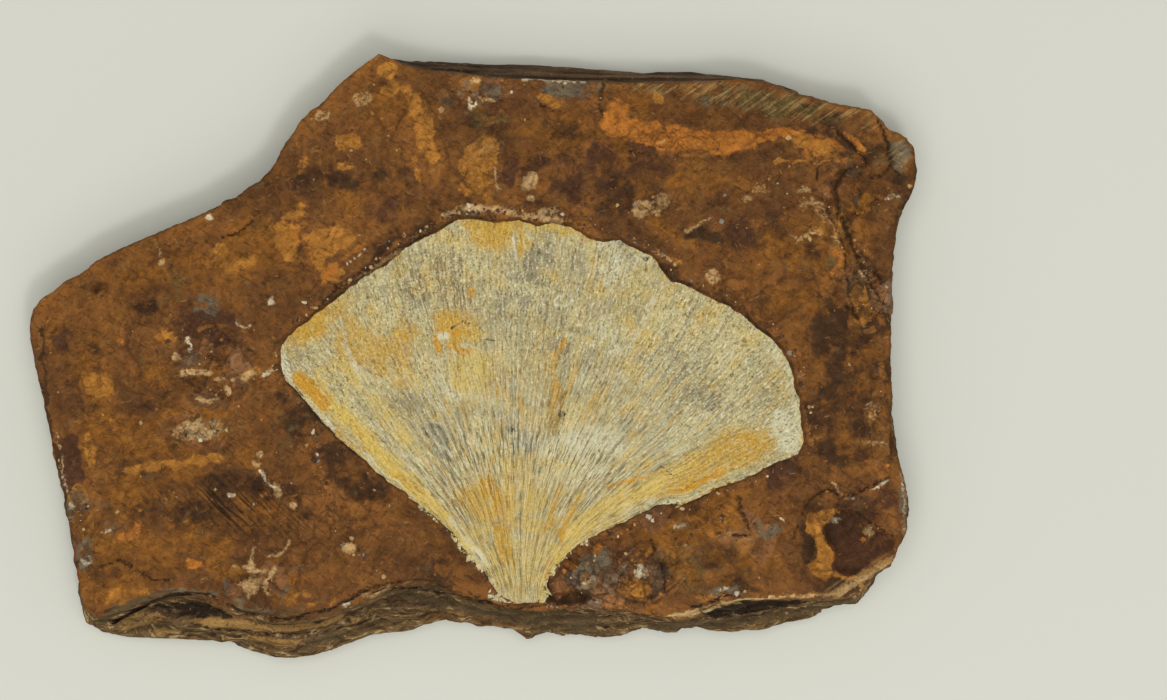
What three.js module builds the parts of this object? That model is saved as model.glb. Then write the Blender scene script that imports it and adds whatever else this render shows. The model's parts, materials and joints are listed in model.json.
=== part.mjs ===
// A fossil ginkgo leaf on its slab of iron-stained, layered rock.
//
// The slab is a broken plate that lies flat on its underside. The leaf is a thin mineral film that lies in
// a shallow bed, sunk into the slab's top face. Sizes are in millimetres, +Z is up, and the origin lies
// under the middle of the slab's footprint, on the surface that it rests on.

import * as THREE from 'three';

// Heights above the surface that the slab rests on.
const FACE_LEVEL = 9.9;
const LEAF_BED_LEVEL = 9.3;

// The leaf: a film, a little thicker where it swells, that ends in a thin edge.
const LEAF_FILM = 0.5;
const LEAF_EDGE = 0.3;
const LEAF_SWELL = 0.12;
const BED_CLEARANCE = 0.35;

// How far the rock stands above the bed at the leaf's edge: most at the leaf's far margin.
const BED_STEP = 0.6;
const BED_STEP_SWING = 0.35;
const BED_STEP_CREST = THREE.MathUtils.degToRad(80);
const BED_SLOPE_LENGTH = 4;

// The rock's worn upper edge, its uneven face and its rough flank, whose layers wear out of step.
const RIM_DROP = 0.55;
const FACE_ROUGHNESS = 0.22;
const RIM_WIDTH = 1.5;
const FLANK_ROUGHNESS = 0.4;
const LAYER_SHIFT = 3;
const UNDERCUT = 1.1;

// Lengths and angles below this count as nothing.
const TINY = 1e-6;

// The point that every section of the body is cut through, inside the leaf.
const HUB = new THREE.Vector2(7, -8);

// Sections are cut at the corners of the outlines, and between them where those lie far apart.
const SECTION_MIN_ANGLE = THREE.MathUtils.degToRad(1.45);
const SECTION_MAX_ANGLE = THREE.MathUtils.degToRad(2.9);

// Stations from the bed (0) to the slab's rim (1), and from the leaf's middle (0) to its edge (1).
const FACE_STATIONS = [0.06, 0.14, 0.25, 0.37, 0.5, 0.63, 0.76, 0.89, 1];
const LEAF_STATIONS = [0.3, 0.6, 0.85, 1];

// The broken layers of the flank: how far out each lies between the rim (0) and the foot (1), and its level.
const LAYERS = [
  { out: 0.2, level: 8.5 },
  { out: 0.32, level: 6.7 },
  { out: 0.64, level: 6.1 },
  { out: 0.74, level: 4.9 },
  { out: 0.96, level: 4.3 },
  { out: 1, level: 2.7 },
];

// The edge of the slab's top face, clockwise from its left corner.
const RIM_OUTLINE = [
  [-55.9, 5.5], [-55.0, 7.1], [-52.2, 9.0], [-49.2, 10.9], [-45.9, 13.2], [-42.1, 14.8], [-36.8, 16.9],
  [-33.3, 18.5], [-30.1, 20.1], [-28.6, 21.4], [-27.1, 21.9], [-25.7, 23.4], [-24.6, 25.6], [-22.8, 28.4],
  [-21.4, 30.4], [-19.2, 32.3], [-16.8, 34.5], [-14.4, 36.6], [-12.0, 38.3], [-9.3, 37.1], [-5.2, 36.1],
  [0.8, 35.4], [7.1, 35.0], [14.0, 34.7], [20.9, 34.6], [27.2, 34.6], [32.9, 35.1], [36.4, 34.9],
  [39.2, 33.8], [41.5, 33.0], [45.3, 32.0], [49.8, 31.1], [51.1, 30.1], [52.2, 28.7], [54.5, 27.8],
  [55.5, 26.5], [55.9, 24.3], [55.7, 21.9], [54.6, 19.1], [53.5, 17.5], [53.0, 14.8], [52.8, 10.4],
  [52.7, 6.4], [52.5, 4.0], [52.6, -1.1], [52.6, -6.6], [53.1, -10.2], [53.5, -13.1], [54.2, -15.1],
  [54.7, -16.7], [54.7, -21.4], [53.7, -24.3], [52.6, -26.3], [50.9, -27.1], [49.8, -28.1], [48.4, -29.6],
  [46.8, -30.2], [39.8, -30.3], [33.5, -30.6], [30.0, -31.2], [26.5, -32.5], [22.8, -32.6], [19.9, -31.9],
  [15.9, -31.3], [10.8, -31.3], [9.0, -31.9], [5.8, -32.1], [3.3, -31.5], [0.8, -30.7], [-1.4, -30.1],
  [-3.9, -28.6], [-6.2, -28.1], [-9.3, -28.2], [-11.5, -28.8], [-14.1, -30.1], [-16.9, -31.3],
  [-19.5, -32.0], [-21.9, -32.4], [-24.5, -32.7], [-26.7, -32.2], [-29.5, -31.7], [-31.4, -30.8],
  [-32.9, -29.7], [-35.8, -29.3], [-39.6, -29.7], [-41.7, -30.3], [-44.6, -31.6], [-47.5, -32.9],
  [-49.1, -32.6], [-49.7, -30.3], [-50.2, -27.7], [-50.8, -23.0], [-51.7, -18.2], [-52.6, -14.2],
  [-53.6, -9.4], [-54.5, -5.1], [-55.4, -0.6], [-55.9, 2.8],
];

// The foot of the flank, where the lowest layers reach furthest out, clockwise from the same corner.
const FOOT_OUTLINE = [
  [-55.6, 4.0], [-54.6, 7.4], [-48.9, 11.2], [-42.0, 15.1], [-33.2, 18.8], [-28.2, 21.9], [-25.8, 23.2],
  [-22.9, 28.5], [-19.3, 32.4], [-14.6, 36.6], [-12.2, 38.2], [-9.8, 38.2], [-5.5, 38.0], [0.5, 37.6],
  [6.9, 37.5], [13.5, 37.1], [21.1, 36.6], [27.5, 36.6], [33.2, 36.0], [36.8, 35.4], [42.0, 33.4],
  [50.2, 31.4], [52.4, 29.0], [54.6, 28.0], [55.9, 24.4], [55.6, 21.6], [53.8, 17.4], [53.3, 14.6],
  [53.0, 6.4], [52.8, 0], [53.0, -8.0], [53.9, -13.5], [55.0, -17.0], [55.0, -21.6], [53.0, -26.4],
  [50.4, -28.6], [51.0, -28.9], [49.7, -30.6], [48.8, -31.8], [44.5, -32.5], [40.6, -33.7], [35.8, -34.8],
  [30.9, -35.0], [26.3, -35.4], [21.8, -35.1], [18.6, -35.8], [13.9, -35.7], [9.4, -35.5], [6.7, -35.9],
  [4.9, -34.9], [1.9, -34.4], [0.4, -34.5], [-0.9, -33.6], [-4.6, -33.7], [-9.6, -35.1], [-13.4, -35.7],
  [-15.7, -36.3], [-17.5, -37.2], [-20.3, -38.1], [-23.5, -38.6], [-27.2, -38.2], [-29.9, -37.0],
  [-33.8, -36.4], [-38.6, -36.0], [-44.0, -36.2], [-44.3, -35.7], [-46.3, -35.8], [-48.1, -34.8],
  [-49.2, -34.6], [-50.1, -33.5], [-50.5, -30.4], [-51.4, -23.2], [-52.4, -18.0], [-54.4, -9.0],
  [-55.8, -0.6],
];

// The leaf's edge, clockwise from its left corner over the lobed far margin and back along the stalk end.
const LEAF_OUTLINE = [
  [-24.5, -1.0], [-24.5, 1.6], [-22.6, 3.6], [-19.4, 6.0], [-16.8, 8.0], [-14.5, 9.9], [-11.2, 11.8],
  [-8.8, 14.0], [-6.6, 15.1], [-4.8, 15.9], [-2.1, 17.5], [-0.3, 17.6], [2.5, 17.1], [5.7, 17.5],
  [7.9, 16.7], [9.8, 17.1], [12.0, 16.7], [14.2, 15.3], [16.3, 14.6], [18.5, 14.9], [20.0, 13.9],
  [22.4, 13.0], [23.2, 11.9], [24.8, 9.6], [26.7, 9.3], [29.6, 7.7], [32.0, 6.6], [33.8, 5.6], [35.8, 3.8],
  [38.3, 1.9], [39.6, -0.1], [40.4, -1.8], [40.5, -3.6], [41.2, -4.9], [41.4, -8.9], [41.9, -10.5],
  [41.0, -12.3], [38.0, -13.2], [36.7, -13.9], [34.6, -15.2], [32.2, -15.8], [30.6, -16.5], [28.2, -17.7],
  [26.2, -18.6], [24.1, -18.2], [22.4, -19.0], [20.9, -19.6], [18.4, -21.0], [15.8, -22.1], [13.4, -23.4],
  [11.7, -24.7], [9.6, -27.1], [9.0, -28.2], [8.4, -30.3], [7.9, -31.0], [6.2, -31.2], [4.7, -30.8],
  [2.9, -29.5], [1.8, -27.7], [0.8, -26.2], [-1.1, -24.2], [-2.6, -22.1], [-5.4, -19.7], [-7.6, -18.0],
  [-9.1, -16.7], [-11.0, -15.6], [-14.0, -12.8], [-17.3, -10.0], [-19.2, -8.1], [-20.8, -6.1],
  [-22.3, -4.2], [-24.2, -2.5],
];

// Swells and hollows of the rock's face: centre, half-widths along X and Y, and height.
const FACE_FORMS = [
  { at: [-22, 22], reach: [13, 9], height: 0.5 },
  { at: [6, 27], reach: [17, 7], height: 0.6 },
  { at: [28, 21], reach: [15, 8], height: 0.9 },
  { at: [46, -1], reach: [6, 11], height: 0.5 },
  { at: [35, -23], reach: [11, 4], height: 0.45 },
  { at: [-13, -23], reach: [10, 5], height: 0.35 },
  { at: [-43, -9], reach: [10, 12], height: 0.35 },
  { at: [16, -26], reach: [3, 2.5], height: 0.5 },
  // The rubbly dip left of the leaf, and the scratched one below it.
  { at: [-33, -3], reach: [8, 4.5], height: -0.55 },
  { at: [-29, -19], reach: [8, 5], height: -0.35 },
  { at: [22, -28], reach: [3, 2.5], height: -0.4 },
  { at: [-49, 8], reach: [5, 4], height: -0.35 },
  // The face falls to the edge at the near left corner and along the slanting facet of the far right.
  { at: [-45, -30], reach: [9, 3.5], height: -1.0 },
  { at: [33, 33], reach: [9, 2.2], height: -1.0 },
  { at: [28, 28], reach: [11, 1.8], height: -0.45 },
  // The shell-shaped hollow of the near right, and the steps and knob of the far right corner.
  { at: [47.4, -21.8], reach: [3.2, 3.2], height: -1.9 },
  { at: [50.8, 14], reach: [2.6, 5], height: -1.6 },
  { at: [49, 22.4], reach: [2.6, 2.6], height: -1.1 },
  { at: [46, 24], reach: [1.8, 5], height: 0.5 },
  { at: [53.9, 25.6], reach: [1.8, 1.8], height: 0.5 },
];

const ROCK_FINISH = new THREE.MeshStandardMaterial({ color: 0x6b4526, roughness: 0.85, metalness: 0 });
const LEAF_FINISH = new THREE.MeshStandardMaterial({ color: 0xb3a276, roughness: 0.8, metalness: 0 });

// A fixed, uneven ripple between -1 and 1.
function ripple(x, y) {
  const long = Math.sin(0.31 * x + 0.17 * y + 1.3) * Math.cos(0.13 * x - 0.37 * y);
  const short = Math.sin(1.07 * x - 0.61 * y) * Math.cos(0.53 * x + 1.19 * y + 0.7);
  return 0.6 * long + 0.4 * short;
}

// How far the closed outline lies from the hub in the direction of an angle.
function reachOf(outline, angle) {
  const ray = new THREE.Vector2(Math.cos(angle), Math.sin(angle));
  let reach = 0;
  outline.forEach(([x, y], i) => {
    const [nextX, nextY] = outline[(i + 1) % outline.length];
    const start = new THREE.Vector2(x, y).sub(HUB);
    const edge = new THREE.Vector2(nextX - x, nextY - y);
    const turn = ray.cross(edge);
    const along = ray.cross(start) / -turn;
    if (Math.abs(turn) > TINY && along >= -TINY && along <= 1 + TINY) {
      reach = Math.max(reach, start.cross(edge) / turn);
    }
  });
  return reach;
}

// The outline moved outwards by a distance, square to its edges.
function grown(outline, distance) {
  return outline.map(([x, y], i) => {
    const [lastX, lastY] = outline.at(i - 1);
    const [nextX, nextY] = outline[(i + 1) % outline.length];
    const before = new THREE.Vector2(lastY - y, x - lastX).normalize();
    const after = new THREE.Vector2(y - nextY, nextX - x).normalize();
    const corner = before.clone().add(after);
    corner.multiplyScalar(distance / corner.dot(after));
    return [x + corner.x, y + corner.y];
  });
}

// The angles of the sections: the outlines' corners, unless too near the last one, and fillers between.
function sectionAngles(outlines) {
  const corners = outlines.flat().map(([x, y]) => Math.atan2(y - HUB.y, x - HUB.x));
  corners.sort((a, b) => a - b);
  const fullTurn = corners[0] + 2 * Math.PI;
  const angles = [corners[0]];
  [...corners, fullTurn].forEach((angle) => {
    const last = angles.at(-1);
    const gap = angle - last;
    const steps = gap < SECTION_MIN_ANGLE ? 0 : Math.ceil(gap / SECTION_MAX_ANGLE);
    for (let step = 1; step <= steps; step += 1) {
      angles.push(last + (gap * step) / steps);
    }
  });
  return angles.filter((angle) => angle < fullTurn - TINY);
}

// The height of the rock's face, away from the leaf and the rim.
function faceHeight(x, y) {
  const forms = FACE_FORMS.reduce((sum, { at, reach, height }) => {
    const spread = ((x - at[0]) / reach[0]) ** 2 + ((y - at[1]) / reach[1]) ** 2;
    return sum + height * Math.exp(-0.5 * spread);
  }, 0);
  return FACE_LEVEL + forms + FACE_ROUGHNESS * ripple(x, y);
}

// How high the rock stands at the leaf's edge in the direction of an angle.
function bedStep(angle) {
  return BED_STEP + BED_STEP_SWING * Math.cos(angle - BED_STEP_CREST);
}

// The point at a distance from the hub in the direction of an angle.
function pointAt(angle, distance, height) {
  return new THREE.Vector3(HUB.x + distance * Math.cos(angle), HUB.y + distance * Math.sin(angle), height);
}

// A closed body from rings of points, one for each section, between a point at its top and one below.
// A sphere's rows and columns give the faces, and its vertices are moved to the rings.
function ringedBody(top, rings, bottom) {
  const columns = rings[0].length;
  const body = new THREE.SphereGeometry(1, columns, rings.length + 1);
  const position = body.getAttribute('position');
  for (let row = 0; row <= rings.length + 1; row += 1) {
    for (let column = 0; column <= columns; column += 1) {
      let point = bottom;
      if (row === 0) {
        point = top;
      } else if (row <= rings.length) {
        point = rings[row - 1][column % columns];
      }
      position.setXYZ(row * (columns + 1) + column, point.x, point.y, point.z);
    }
  }
  body.computeVertexNormals();
  return body;
}

// The slab: the leaf's bed, the face around it, the layered flank and the flat underside.
function slabBody(angles) {
  const bed = grown(LEAF_OUTLINE, BED_CLEARANCE);
  const bedReach = angles.map((angle) => reachOf(bed, angle));
  const rimReach = angles.map((angle) => reachOf(RIM_OUTLINE, angle));
  const footReach = angles.map((angle) => reachOf(FOOT_OUTLINE, angle));

  const bedFloor = angles.map((angle, i) => pointAt(angle, bedReach[i], LEAF_BED_LEVEL));
  const bedEdge = angles.map((angle, i) => pointAt(angle, bedReach[i], LEAF_BED_LEVEL + bedStep(angle)));
  const face = FACE_STATIONS.map((station) => angles.map((angle, i) => {
    const distance = THREE.MathUtils.lerp(bedReach[i], rimReach[i], station);
    const point = pointAt(angle, distance, 0);
    const clear = THREE.MathUtils.smoothstep(distance - bedReach[i], 0, BED_SLOPE_LENGTH);
    const edge = LEAF_BED_LEVEL + bedStep(angle);
    point.z = THREE.MathUtils.lerp(edge, faceHeight(point.x, point.y), clear);
    point.z -= RIM_DROP * THREE.MathUtils.smoothstep(distance, rimReach[i] - RIM_WIDTH, rimReach[i]);
    return point;
  }));
  const rim = face.at(-1);
  const flank = LAYERS.map(({ out, level }) => angles.map((angle, i) => {
    const reach = THREE.MathUtils.lerp(rimReach[i], footReach[i], out);
    const outer = pointAt(angle, reach, 0);
    const rough = ripple(outer.x + LAYER_SHIFT * level, outer.y);
    const worn = FLANK_ROUGHNESS * (1 + rough) / 2;
    return pointAt(angle, reach - worn, level * (rim[i].z / FACE_LEVEL) - worn / 2);
  }));
  const underside = angles.map((angle, i) => pointAt(angle, footReach[i] - UNDERCUT, 0));
  return ringedBody(
    new THREE.Vector3(HUB.x, HUB.y, LEAF_BED_LEVEL),
    [bedFloor, bedEdge, ...face, ...flank, underside],
    new THREE.Vector3(HUB.x, HUB.y, 0),
  );
}

// The leaf: a film with a gently swelling upper face and a flat underside that lies on the bed.
function leafBody(angles) {
  const leafReach = angles.map((angle) => reachOf(LEAF_OUTLINE, angle));
  const upper = LEAF_STATIONS.map((station) => angles.map((angle, i) => {
    const point = pointAt(angle, station * leafReach[i], LEAF_BED_LEVEL);
    const film = station === 1 ? LEAF_EDGE : LEAF_FILM;
    point.z += film + LEAF_SWELL * ripple(point.x, point.y);
    return point;
  }));
  const edge = angles.map((angle, i) => pointAt(angle, leafReach[i], LEAF_BED_LEVEL));
  return ringedBody(
    new THREE.Vector3(HUB.x, HUB.y, LEAF_BED_LEVEL + LEAF_FILM),
    [...upper, edge],
    new THREE.Vector3(HUB.x, HUB.y, LEAF_BED_LEVEL),
  );
}

function named(name, body, finish) {
  const mesh = new THREE.Mesh(body, finish);
  mesh.name = name;
  return mesh;
}

const angles = sectionAngles([RIM_OUTLINE, FOOT_OUTLINE, LEAF_OUTLINE]);
const fossil = new THREE.Group();
fossil.add(named('matrix_slab', slabBody(angles), ROCK_FINISH));
fossil.add(named('ginkgo_leaf', leafBody(angles), LEAF_FINISH));

export default fossil;
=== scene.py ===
"""A fossil ginkgo leaf on its slab of iron-stained rock: fine relief, finishes, light and camera.

The slab and the leaf are read from the frame as rings of points and rebuilt as fine meshes in the same
places. Lengths in this script are millimetres unless a name says otherwise; meshes are scaled to metres.
"""

from __future__ import annotations

import json
import logging
import math
from dataclasses import dataclass, field
from enum import Enum
from typing import Any, Iterable, Sequence

import bpy
import numpy as np
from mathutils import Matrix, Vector
from mathutils.geometry import delaunay_2d_cdt
from mathutils.kdtree import KDTree

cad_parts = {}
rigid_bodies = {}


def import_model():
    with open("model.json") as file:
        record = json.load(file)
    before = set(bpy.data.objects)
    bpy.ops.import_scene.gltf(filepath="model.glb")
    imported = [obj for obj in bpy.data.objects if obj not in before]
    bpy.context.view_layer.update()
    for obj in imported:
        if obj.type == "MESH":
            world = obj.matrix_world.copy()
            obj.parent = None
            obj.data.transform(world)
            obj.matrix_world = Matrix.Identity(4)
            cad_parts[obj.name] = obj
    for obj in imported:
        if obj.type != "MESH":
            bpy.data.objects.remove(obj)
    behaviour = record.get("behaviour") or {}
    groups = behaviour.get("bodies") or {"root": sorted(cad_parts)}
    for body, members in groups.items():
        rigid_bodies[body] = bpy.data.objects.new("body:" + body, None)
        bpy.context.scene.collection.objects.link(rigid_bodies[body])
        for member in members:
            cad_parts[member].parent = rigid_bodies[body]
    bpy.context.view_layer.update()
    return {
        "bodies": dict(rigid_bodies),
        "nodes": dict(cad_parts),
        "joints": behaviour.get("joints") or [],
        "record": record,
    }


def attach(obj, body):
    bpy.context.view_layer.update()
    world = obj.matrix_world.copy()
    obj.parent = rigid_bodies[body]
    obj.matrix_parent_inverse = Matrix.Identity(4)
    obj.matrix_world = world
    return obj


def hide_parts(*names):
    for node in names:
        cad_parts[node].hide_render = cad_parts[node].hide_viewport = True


LOG = logging.getLogger("ginkgo_fossil")

MM = 0.001
BODY = "root"
ROCK_NODE = "matrix_slab"
LEAF_NODE = "ginkgo_leaf"

Array = np.ndarray
Piece = bpy.types.Object
Colour = tuple[float, float, float, float]
Place = tuple[float, float]
Stop = tuple[float, Colour]


def srgb(red: int, green: int, blue: int) -> Colour:
    """Gives the linear colour of an sRGB one."""
    linear = [((part / 255 + 0.055) / 1.055) ** 2.4 for part in (red, green, blue)]
    return (linear[0], linear[1], linear[2], 1.0)


def smooth(low: float, high: float, value: Array) -> Array:
    """Rises smoothly from 0 at low to 1 at high."""
    share = np.clip((value - low) / (high - low), 0.0, 1.0)
    return share * share * (3.0 - 2.0 * share)


# ---- Shader maths ----


class Value:
    """A number socket in an expression: each operator adds a Math node."""

    def __init__(self, recipe: Recipe, socket: bpy.types.NodeSocket) -> None:
        """Wraps a socket of a recipe's node tree."""
        self.recipe = recipe
        self.socket = socket

    def __add__(self, other: Value | float) -> Value:
        """Gives the sum."""
        return self.recipe.maths("ADD", self, other)

    def __radd__(self, other: float) -> Value:
        """Gives the sum, with the number first."""
        return self.recipe.maths("ADD", other, self)

    def __sub__(self, other: Value | float) -> Value:
        """Gives the difference."""
        return self.recipe.maths("SUBTRACT", self, other)

    def __rsub__(self, other: float) -> Value:
        """Gives the difference, with the number first."""
        return self.recipe.maths("SUBTRACT", other, self)

    def __mul__(self, other: Value | float) -> Value:
        """Gives the product."""
        return self.recipe.maths("MULTIPLY", self, other)

    def __rmul__(self, other: float) -> Value:
        """Gives the product, with the number first."""
        return self.recipe.maths("MULTIPLY", other, self)

    def most(self, other: Value | float) -> Value:
        """Gives the larger of the two."""
        return self.recipe.maths("MAXIMUM", self, other)

    def eased(self, low: float, high: float) -> Value:
        """Rises smoothly from 0 at low to 1 at high."""
        inputs = {"Value": self, "From Min": low, "From Max": high}
        return self.recipe.value("ShaderNodeMapRange", "Result", {"interpolation_type": "SMOOTHSTEP"}, inputs)


class Recipe:
    """One material: its node tree, its point on the surface, and the ways in which nodes are added to it."""

    def __init__(self, name: str) -> None:
        """Makes an empty material and the point on the surface, in millimetres.

        Args:
            name: the material's name.
        """
        self.material = bpy.data.materials.new(name)
        self.material.use_nodes = True
        self.tree = self.material.node_tree
        self.tree.nodes.clear()
        metres = self.value("ShaderNodeTexCoord", "Object", {}, {})
        self.place = self.stretched(metres, (1 / MM, 1 / MM, 1 / MM))

    def node(self, kind: str, settings: dict[str, Any], inputs: dict[str | int, Any]) -> bpy.types.Node:
        """Adds a node.

        Args:
            kind: the node's type.
            settings: its settings, set first; "stops" holds a ramp's positions and colours.
            inputs: the values or links of its sockets, by name or number.

        Returns:
            The new node.
        """
        node = self.tree.nodes.new(kind)
        for key, setting in settings.items():
            if key == "stops":
                self._set_stops(node, setting)
            else:
                setattr(node, key, setting)
        for key, given in inputs.items():
            if isinstance(given, Value):
                self.tree.links.new(given.socket, node.inputs[key])
            else:
                node.inputs[key].default_value = given
        return node

    @staticmethod
    def _set_stops(node: bpy.types.Node, stops: Sequence[Stop]) -> None:
        """Sets a colour ramp's stops.

        Args:
            node: the ramp.
            stops: the positions and colours.
        """
        elements = node.color_ramp.elements
        while len(elements) < len(stops):
            elements.new(1.0)
        for element, (position, colour) in zip(elements, stops):
            element.position = position
            element.color = colour

    def value(
        self, kind: str, output: str | int, settings: dict[str, Any], inputs: dict[str | int, Any]
    ) -> Value:
        """Adds a node and gives one of its outputs."""
        return Value(self, self.node(kind, settings, inputs).outputs[output])

    def maths(self, operation: str, first: Value | float, second: Value | float) -> Value:
        """Adds a Math node."""
        return self.value("ShaderNodeMath", 0, {"operation": operation}, {0: first, 1: second})

    def mix(self, share: Value | float, first: Value | Colour, second: Value | Colour) -> Value:
        """Mixes two colours."""
        return self.value("ShaderNodeMix", 2, {"data_type": "RGBA"}, {0: share, 6: first, 7: second})

    def shaded(self, colour: Value, share: Value) -> Value:
        """Multiplies a colour by a grey."""
        return self.value("ShaderNodeVectorMath", 0, {"operation": "SCALE"}, {0: colour, "Scale": share})

    def stretched(self, point: Value, by: tuple[float, float, float]) -> Value:
        """Scales a point along each axis."""
        return self.value("ShaderNodeVectorMath", 0, {"operation": "MULTIPLY"}, {0: point, 1: by})

    def turned(self, point: Value, degrees: float) -> Value:
        """Turns a point about the Z axis, clockwise seen from above."""
        inputs = {"Vector": point, "Angle": math.radians(-degrees)}
        return self.value("ShaderNodeVectorRotate", 0, {"rotation_type": "Z_AXIS"}, inputs)

    def shifted(self, point: Value, by: Value, amount: float) -> Value:
        """Moves a point by a noise's colour, so that straight edges wander."""
        inputs = {0: by, 1: (amount, amount, amount), 2: point}
        return self.value("ShaderNodeVectorMath", 0, {"operation": "MULTIPLY_ADD"}, inputs)

    def noise(
        self, point: Value, size: float, detail: float = 3.0, rough: float = 0.55, output: str = "Fac"
    ) -> Value:
        """Gives fractal noise around 0.5."""
        inputs = {"Vector": point, "Scale": 1.0 / size, "Detail": detail, "Roughness": rough}
        return self.value("ShaderNodeTexNoise", output, {}, inputs)

    def drift(self, point: Value, size: float) -> Value:
        """Gives a noise's colour, for moving points."""
        return self.noise(point, size, 2.0, 0.5, "Color")

    def cells(self, point: Value, size: float, metric: str = "EUCLIDEAN") -> list[Value]:
        """Gives three random numbers of the cell at a point, and the distance to the cell's middle."""
        cell = self.node("ShaderNodeTexVoronoi", {"distance": metric}, {"Vector": point, "Scale": 1 / size})
        return [*self.parted(cell), Value(self, cell.outputs["Distance"])]

    def seams(self, point: Value, size: float) -> Value:
        """Gives the distance to the nearest edge between the cells."""
        inputs = {"Vector": point, "Scale": 1 / size}
        return self.value("ShaderNodeTexVoronoi", "Distance", {"feature": "DISTANCE_TO_EDGE"}, inputs)

    def ramp(self, share: Value, stops: Sequence[Stop]) -> Value:
        """Turns a number into a colour between the stops."""
        return self.value("ShaderNodeValToRGB", "Color", {"stops": stops}, {"Fac": share})

    def parted(self, node: bpy.types.Node) -> list[Value]:
        """Splits the colour that a node gives into red, green and blue."""
        parts = self.node("ShaderNodeSeparateColor", {}, {"Color": Value(self, node.outputs["Color"])})
        return [Value(self, parts.outputs[channel]) for channel in ("Red", "Green", "Blue")]

    def channels(self, name: str) -> list[Value]:
        """Reads the red, green, blue and alpha of a colour attribute."""
        held = self.node("ShaderNodeAttribute", {"attribute_name": name}, {})
        return [*self.parted(held), Value(self, held.outputs["Alpha"])]

    def bump(self, height: Value, distance: float) -> Value:
        """Gives a normal with fine relief, whose heights from 0 to 1 are spread over the distance."""
        inputs = {"Strength": 1.0, "Distance": distance * MM, "Height": height}
        return self.value("ShaderNodeBump", "Normal", {}, inputs)

    def finish(self, colour: Value | Colour, roughness: Value | float, gloss: float, normal: Value) -> None:
        """Ends the material in a Principled shader.

        Args:
            colour: its base colour.
            roughness: its roughness.
            gloss: its specular level.
            normal: its normal.
        """
        inputs = {"Base Color": colour, "Roughness": roughness, "Specular IOR Level": gloss, "Normal": normal}
        shader = self.value("ShaderNodeBsdfPrincipled", "BSDF", {}, inputs)
        self.node("ShaderNodeOutputMaterial", {}, {"Surface": shader})


# ---- Seeded noise for relief and stains ----


class Ripple:
    """Seeded gradient noise through space, between about -1 and 1."""

    TABLE = 1024
    REACH = 1.6
    OCTAVE_SHIFT = 17.3
    SHARPNESS = 2.2

    def __init__(self, seed: int) -> None:
        """Draws the noise's slopes.

        Args:
            seed: seeds them.
        """
        draw = np.random.default_rng(seed)
        self.order = draw.permutation(self.TABLE)
        slopes = draw.normal(size=(self.TABLE, 3))
        self.slopes = slopes / np.linalg.norm(slopes, axis=1, keepdims=True)

    def _slot(self, cell: Array) -> Array:
        """Picks the table's row for each cell of the lattice.

        Args:
            cell: N cells, with three whole coordinates.

        Returns:
            N rows.
        """
        row = self.order[cell[:, 0] % self.TABLE]
        row = self.order[(row + cell[:, 1]) % self.TABLE]
        return self.order[(row + cell[:, 2]) % self.TABLE]

    def wave(self, points: Array, size: float) -> Array:
        """Gives one octave of the noise.

        Args:
            points: N points, with two or three coordinates.
            size: the length of a wave.

        Returns:
            N values.
        """
        spot = np.zeros((len(points), 3))
        spot[:, : points.shape[1]] = points / size
        cell = np.floor(spot).astype(int)
        part = spot - cell
        ease = part * part * part * (part * (part * 6 - 15) + 10)
        total = np.zeros(len(points))
        for corner in np.ndindex(2, 2, 2):
            weight = np.prod(np.where(corner, ease, 1 - ease), axis=1)
            slope = self.slopes[self._slot(cell + corner)]
            total += weight * np.einsum("ij,ij->i", slope, part - corner)
        return total * self.REACH

    def fractal(self, points: Array, size: float, octaves: int = 4, gain: float = 0.5) -> Array:
        """Sums octaves of the noise.

        Args:
            points: N points.
            size: the length of the largest waves.
            octaves: how many octaves there are, each half as long as the last.
            gain: how strong each octave is beside the last.

        Returns:
            N values.
        """
        total = np.zeros(len(points))
        strength = 1.0
        for octave in range(octaves):
            total += strength * self.wave(points + self.OCTAVE_SHIFT * octave, size / 2**octave)
            strength *= gain
        return total

    def ridged(self, points: Array, size: float, octaves: int = 3) -> Array:
        """Gives noise with sharp crests, from 0 to about 1."""
        return 1.0 - np.minimum(np.abs(self.fractal(points, size, octaves)) * self.SHARPNESS, 1.0)

    def wander(self, points: Array, size: float, octaves: int, shifts: Place) -> Array:
        """Gives two coordinates of noise for each point, read at two places that lie apart."""
        return np.stack([self.fractal(points + shift, size, octaves) for shift in shifts], axis=1)


class Cells:
    """Seeded angular cells over the plane, for broken and rubbly rock."""

    def __init__(self, seed: int) -> None:
        """Draws the cells' table.

        Args:
            seed: seeds it.
        """
        draw = np.random.default_rng(seed)
        self.order = draw.permutation(Ripple.TABLE)
        self.chance = draw.random((Ripple.TABLE, 5))

    def at(self, points: Array, size: float) -> tuple[Array, Array]:
        """Finds each point's cell.

        Args:
            points: N points of the plane.
            size: the cells' mean width.

        Returns:
            A tilted height for each point's block, from -1 to 1, and its distance from the block's edge.
        """
        spot = points[:, :2] / size
        cell = np.floor(spot).astype(int)
        nearest = np.full(len(spot), 9.0)
        second = np.full(len(spot), 9.0)
        block = np.zeros(len(spot))
        for step_x in (-1, 0, 1):
            for step_y in (-1, 0, 1):
                other = cell + (step_x, step_y)
                row = self.order[other[:, 0] % Ripple.TABLE]
                row = self.order[(row + other[:, 1]) % Ripple.TABLE]
                chance = self.chance[row]
                away = spot - (other + 0.1 + 0.8 * chance[:, :2])
                distance = np.hypot(away[:, 0], away[:, 1])
                tilt = away * (chance[:, 3:5] - 0.5)
                height = 2 * chance[:, 2] - 1 + 1.6 * tilt.sum(axis=1)
                closer = distance < nearest
                second = np.where(closer, nearest, np.minimum(second, distance))
                block = np.where(closer, height, block)
                nearest = np.where(closer, distance, nearest)
        return block, (second - nearest) * size


# ---- Marks: the places of stains, pebbles, cracks and ledges ----


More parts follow.
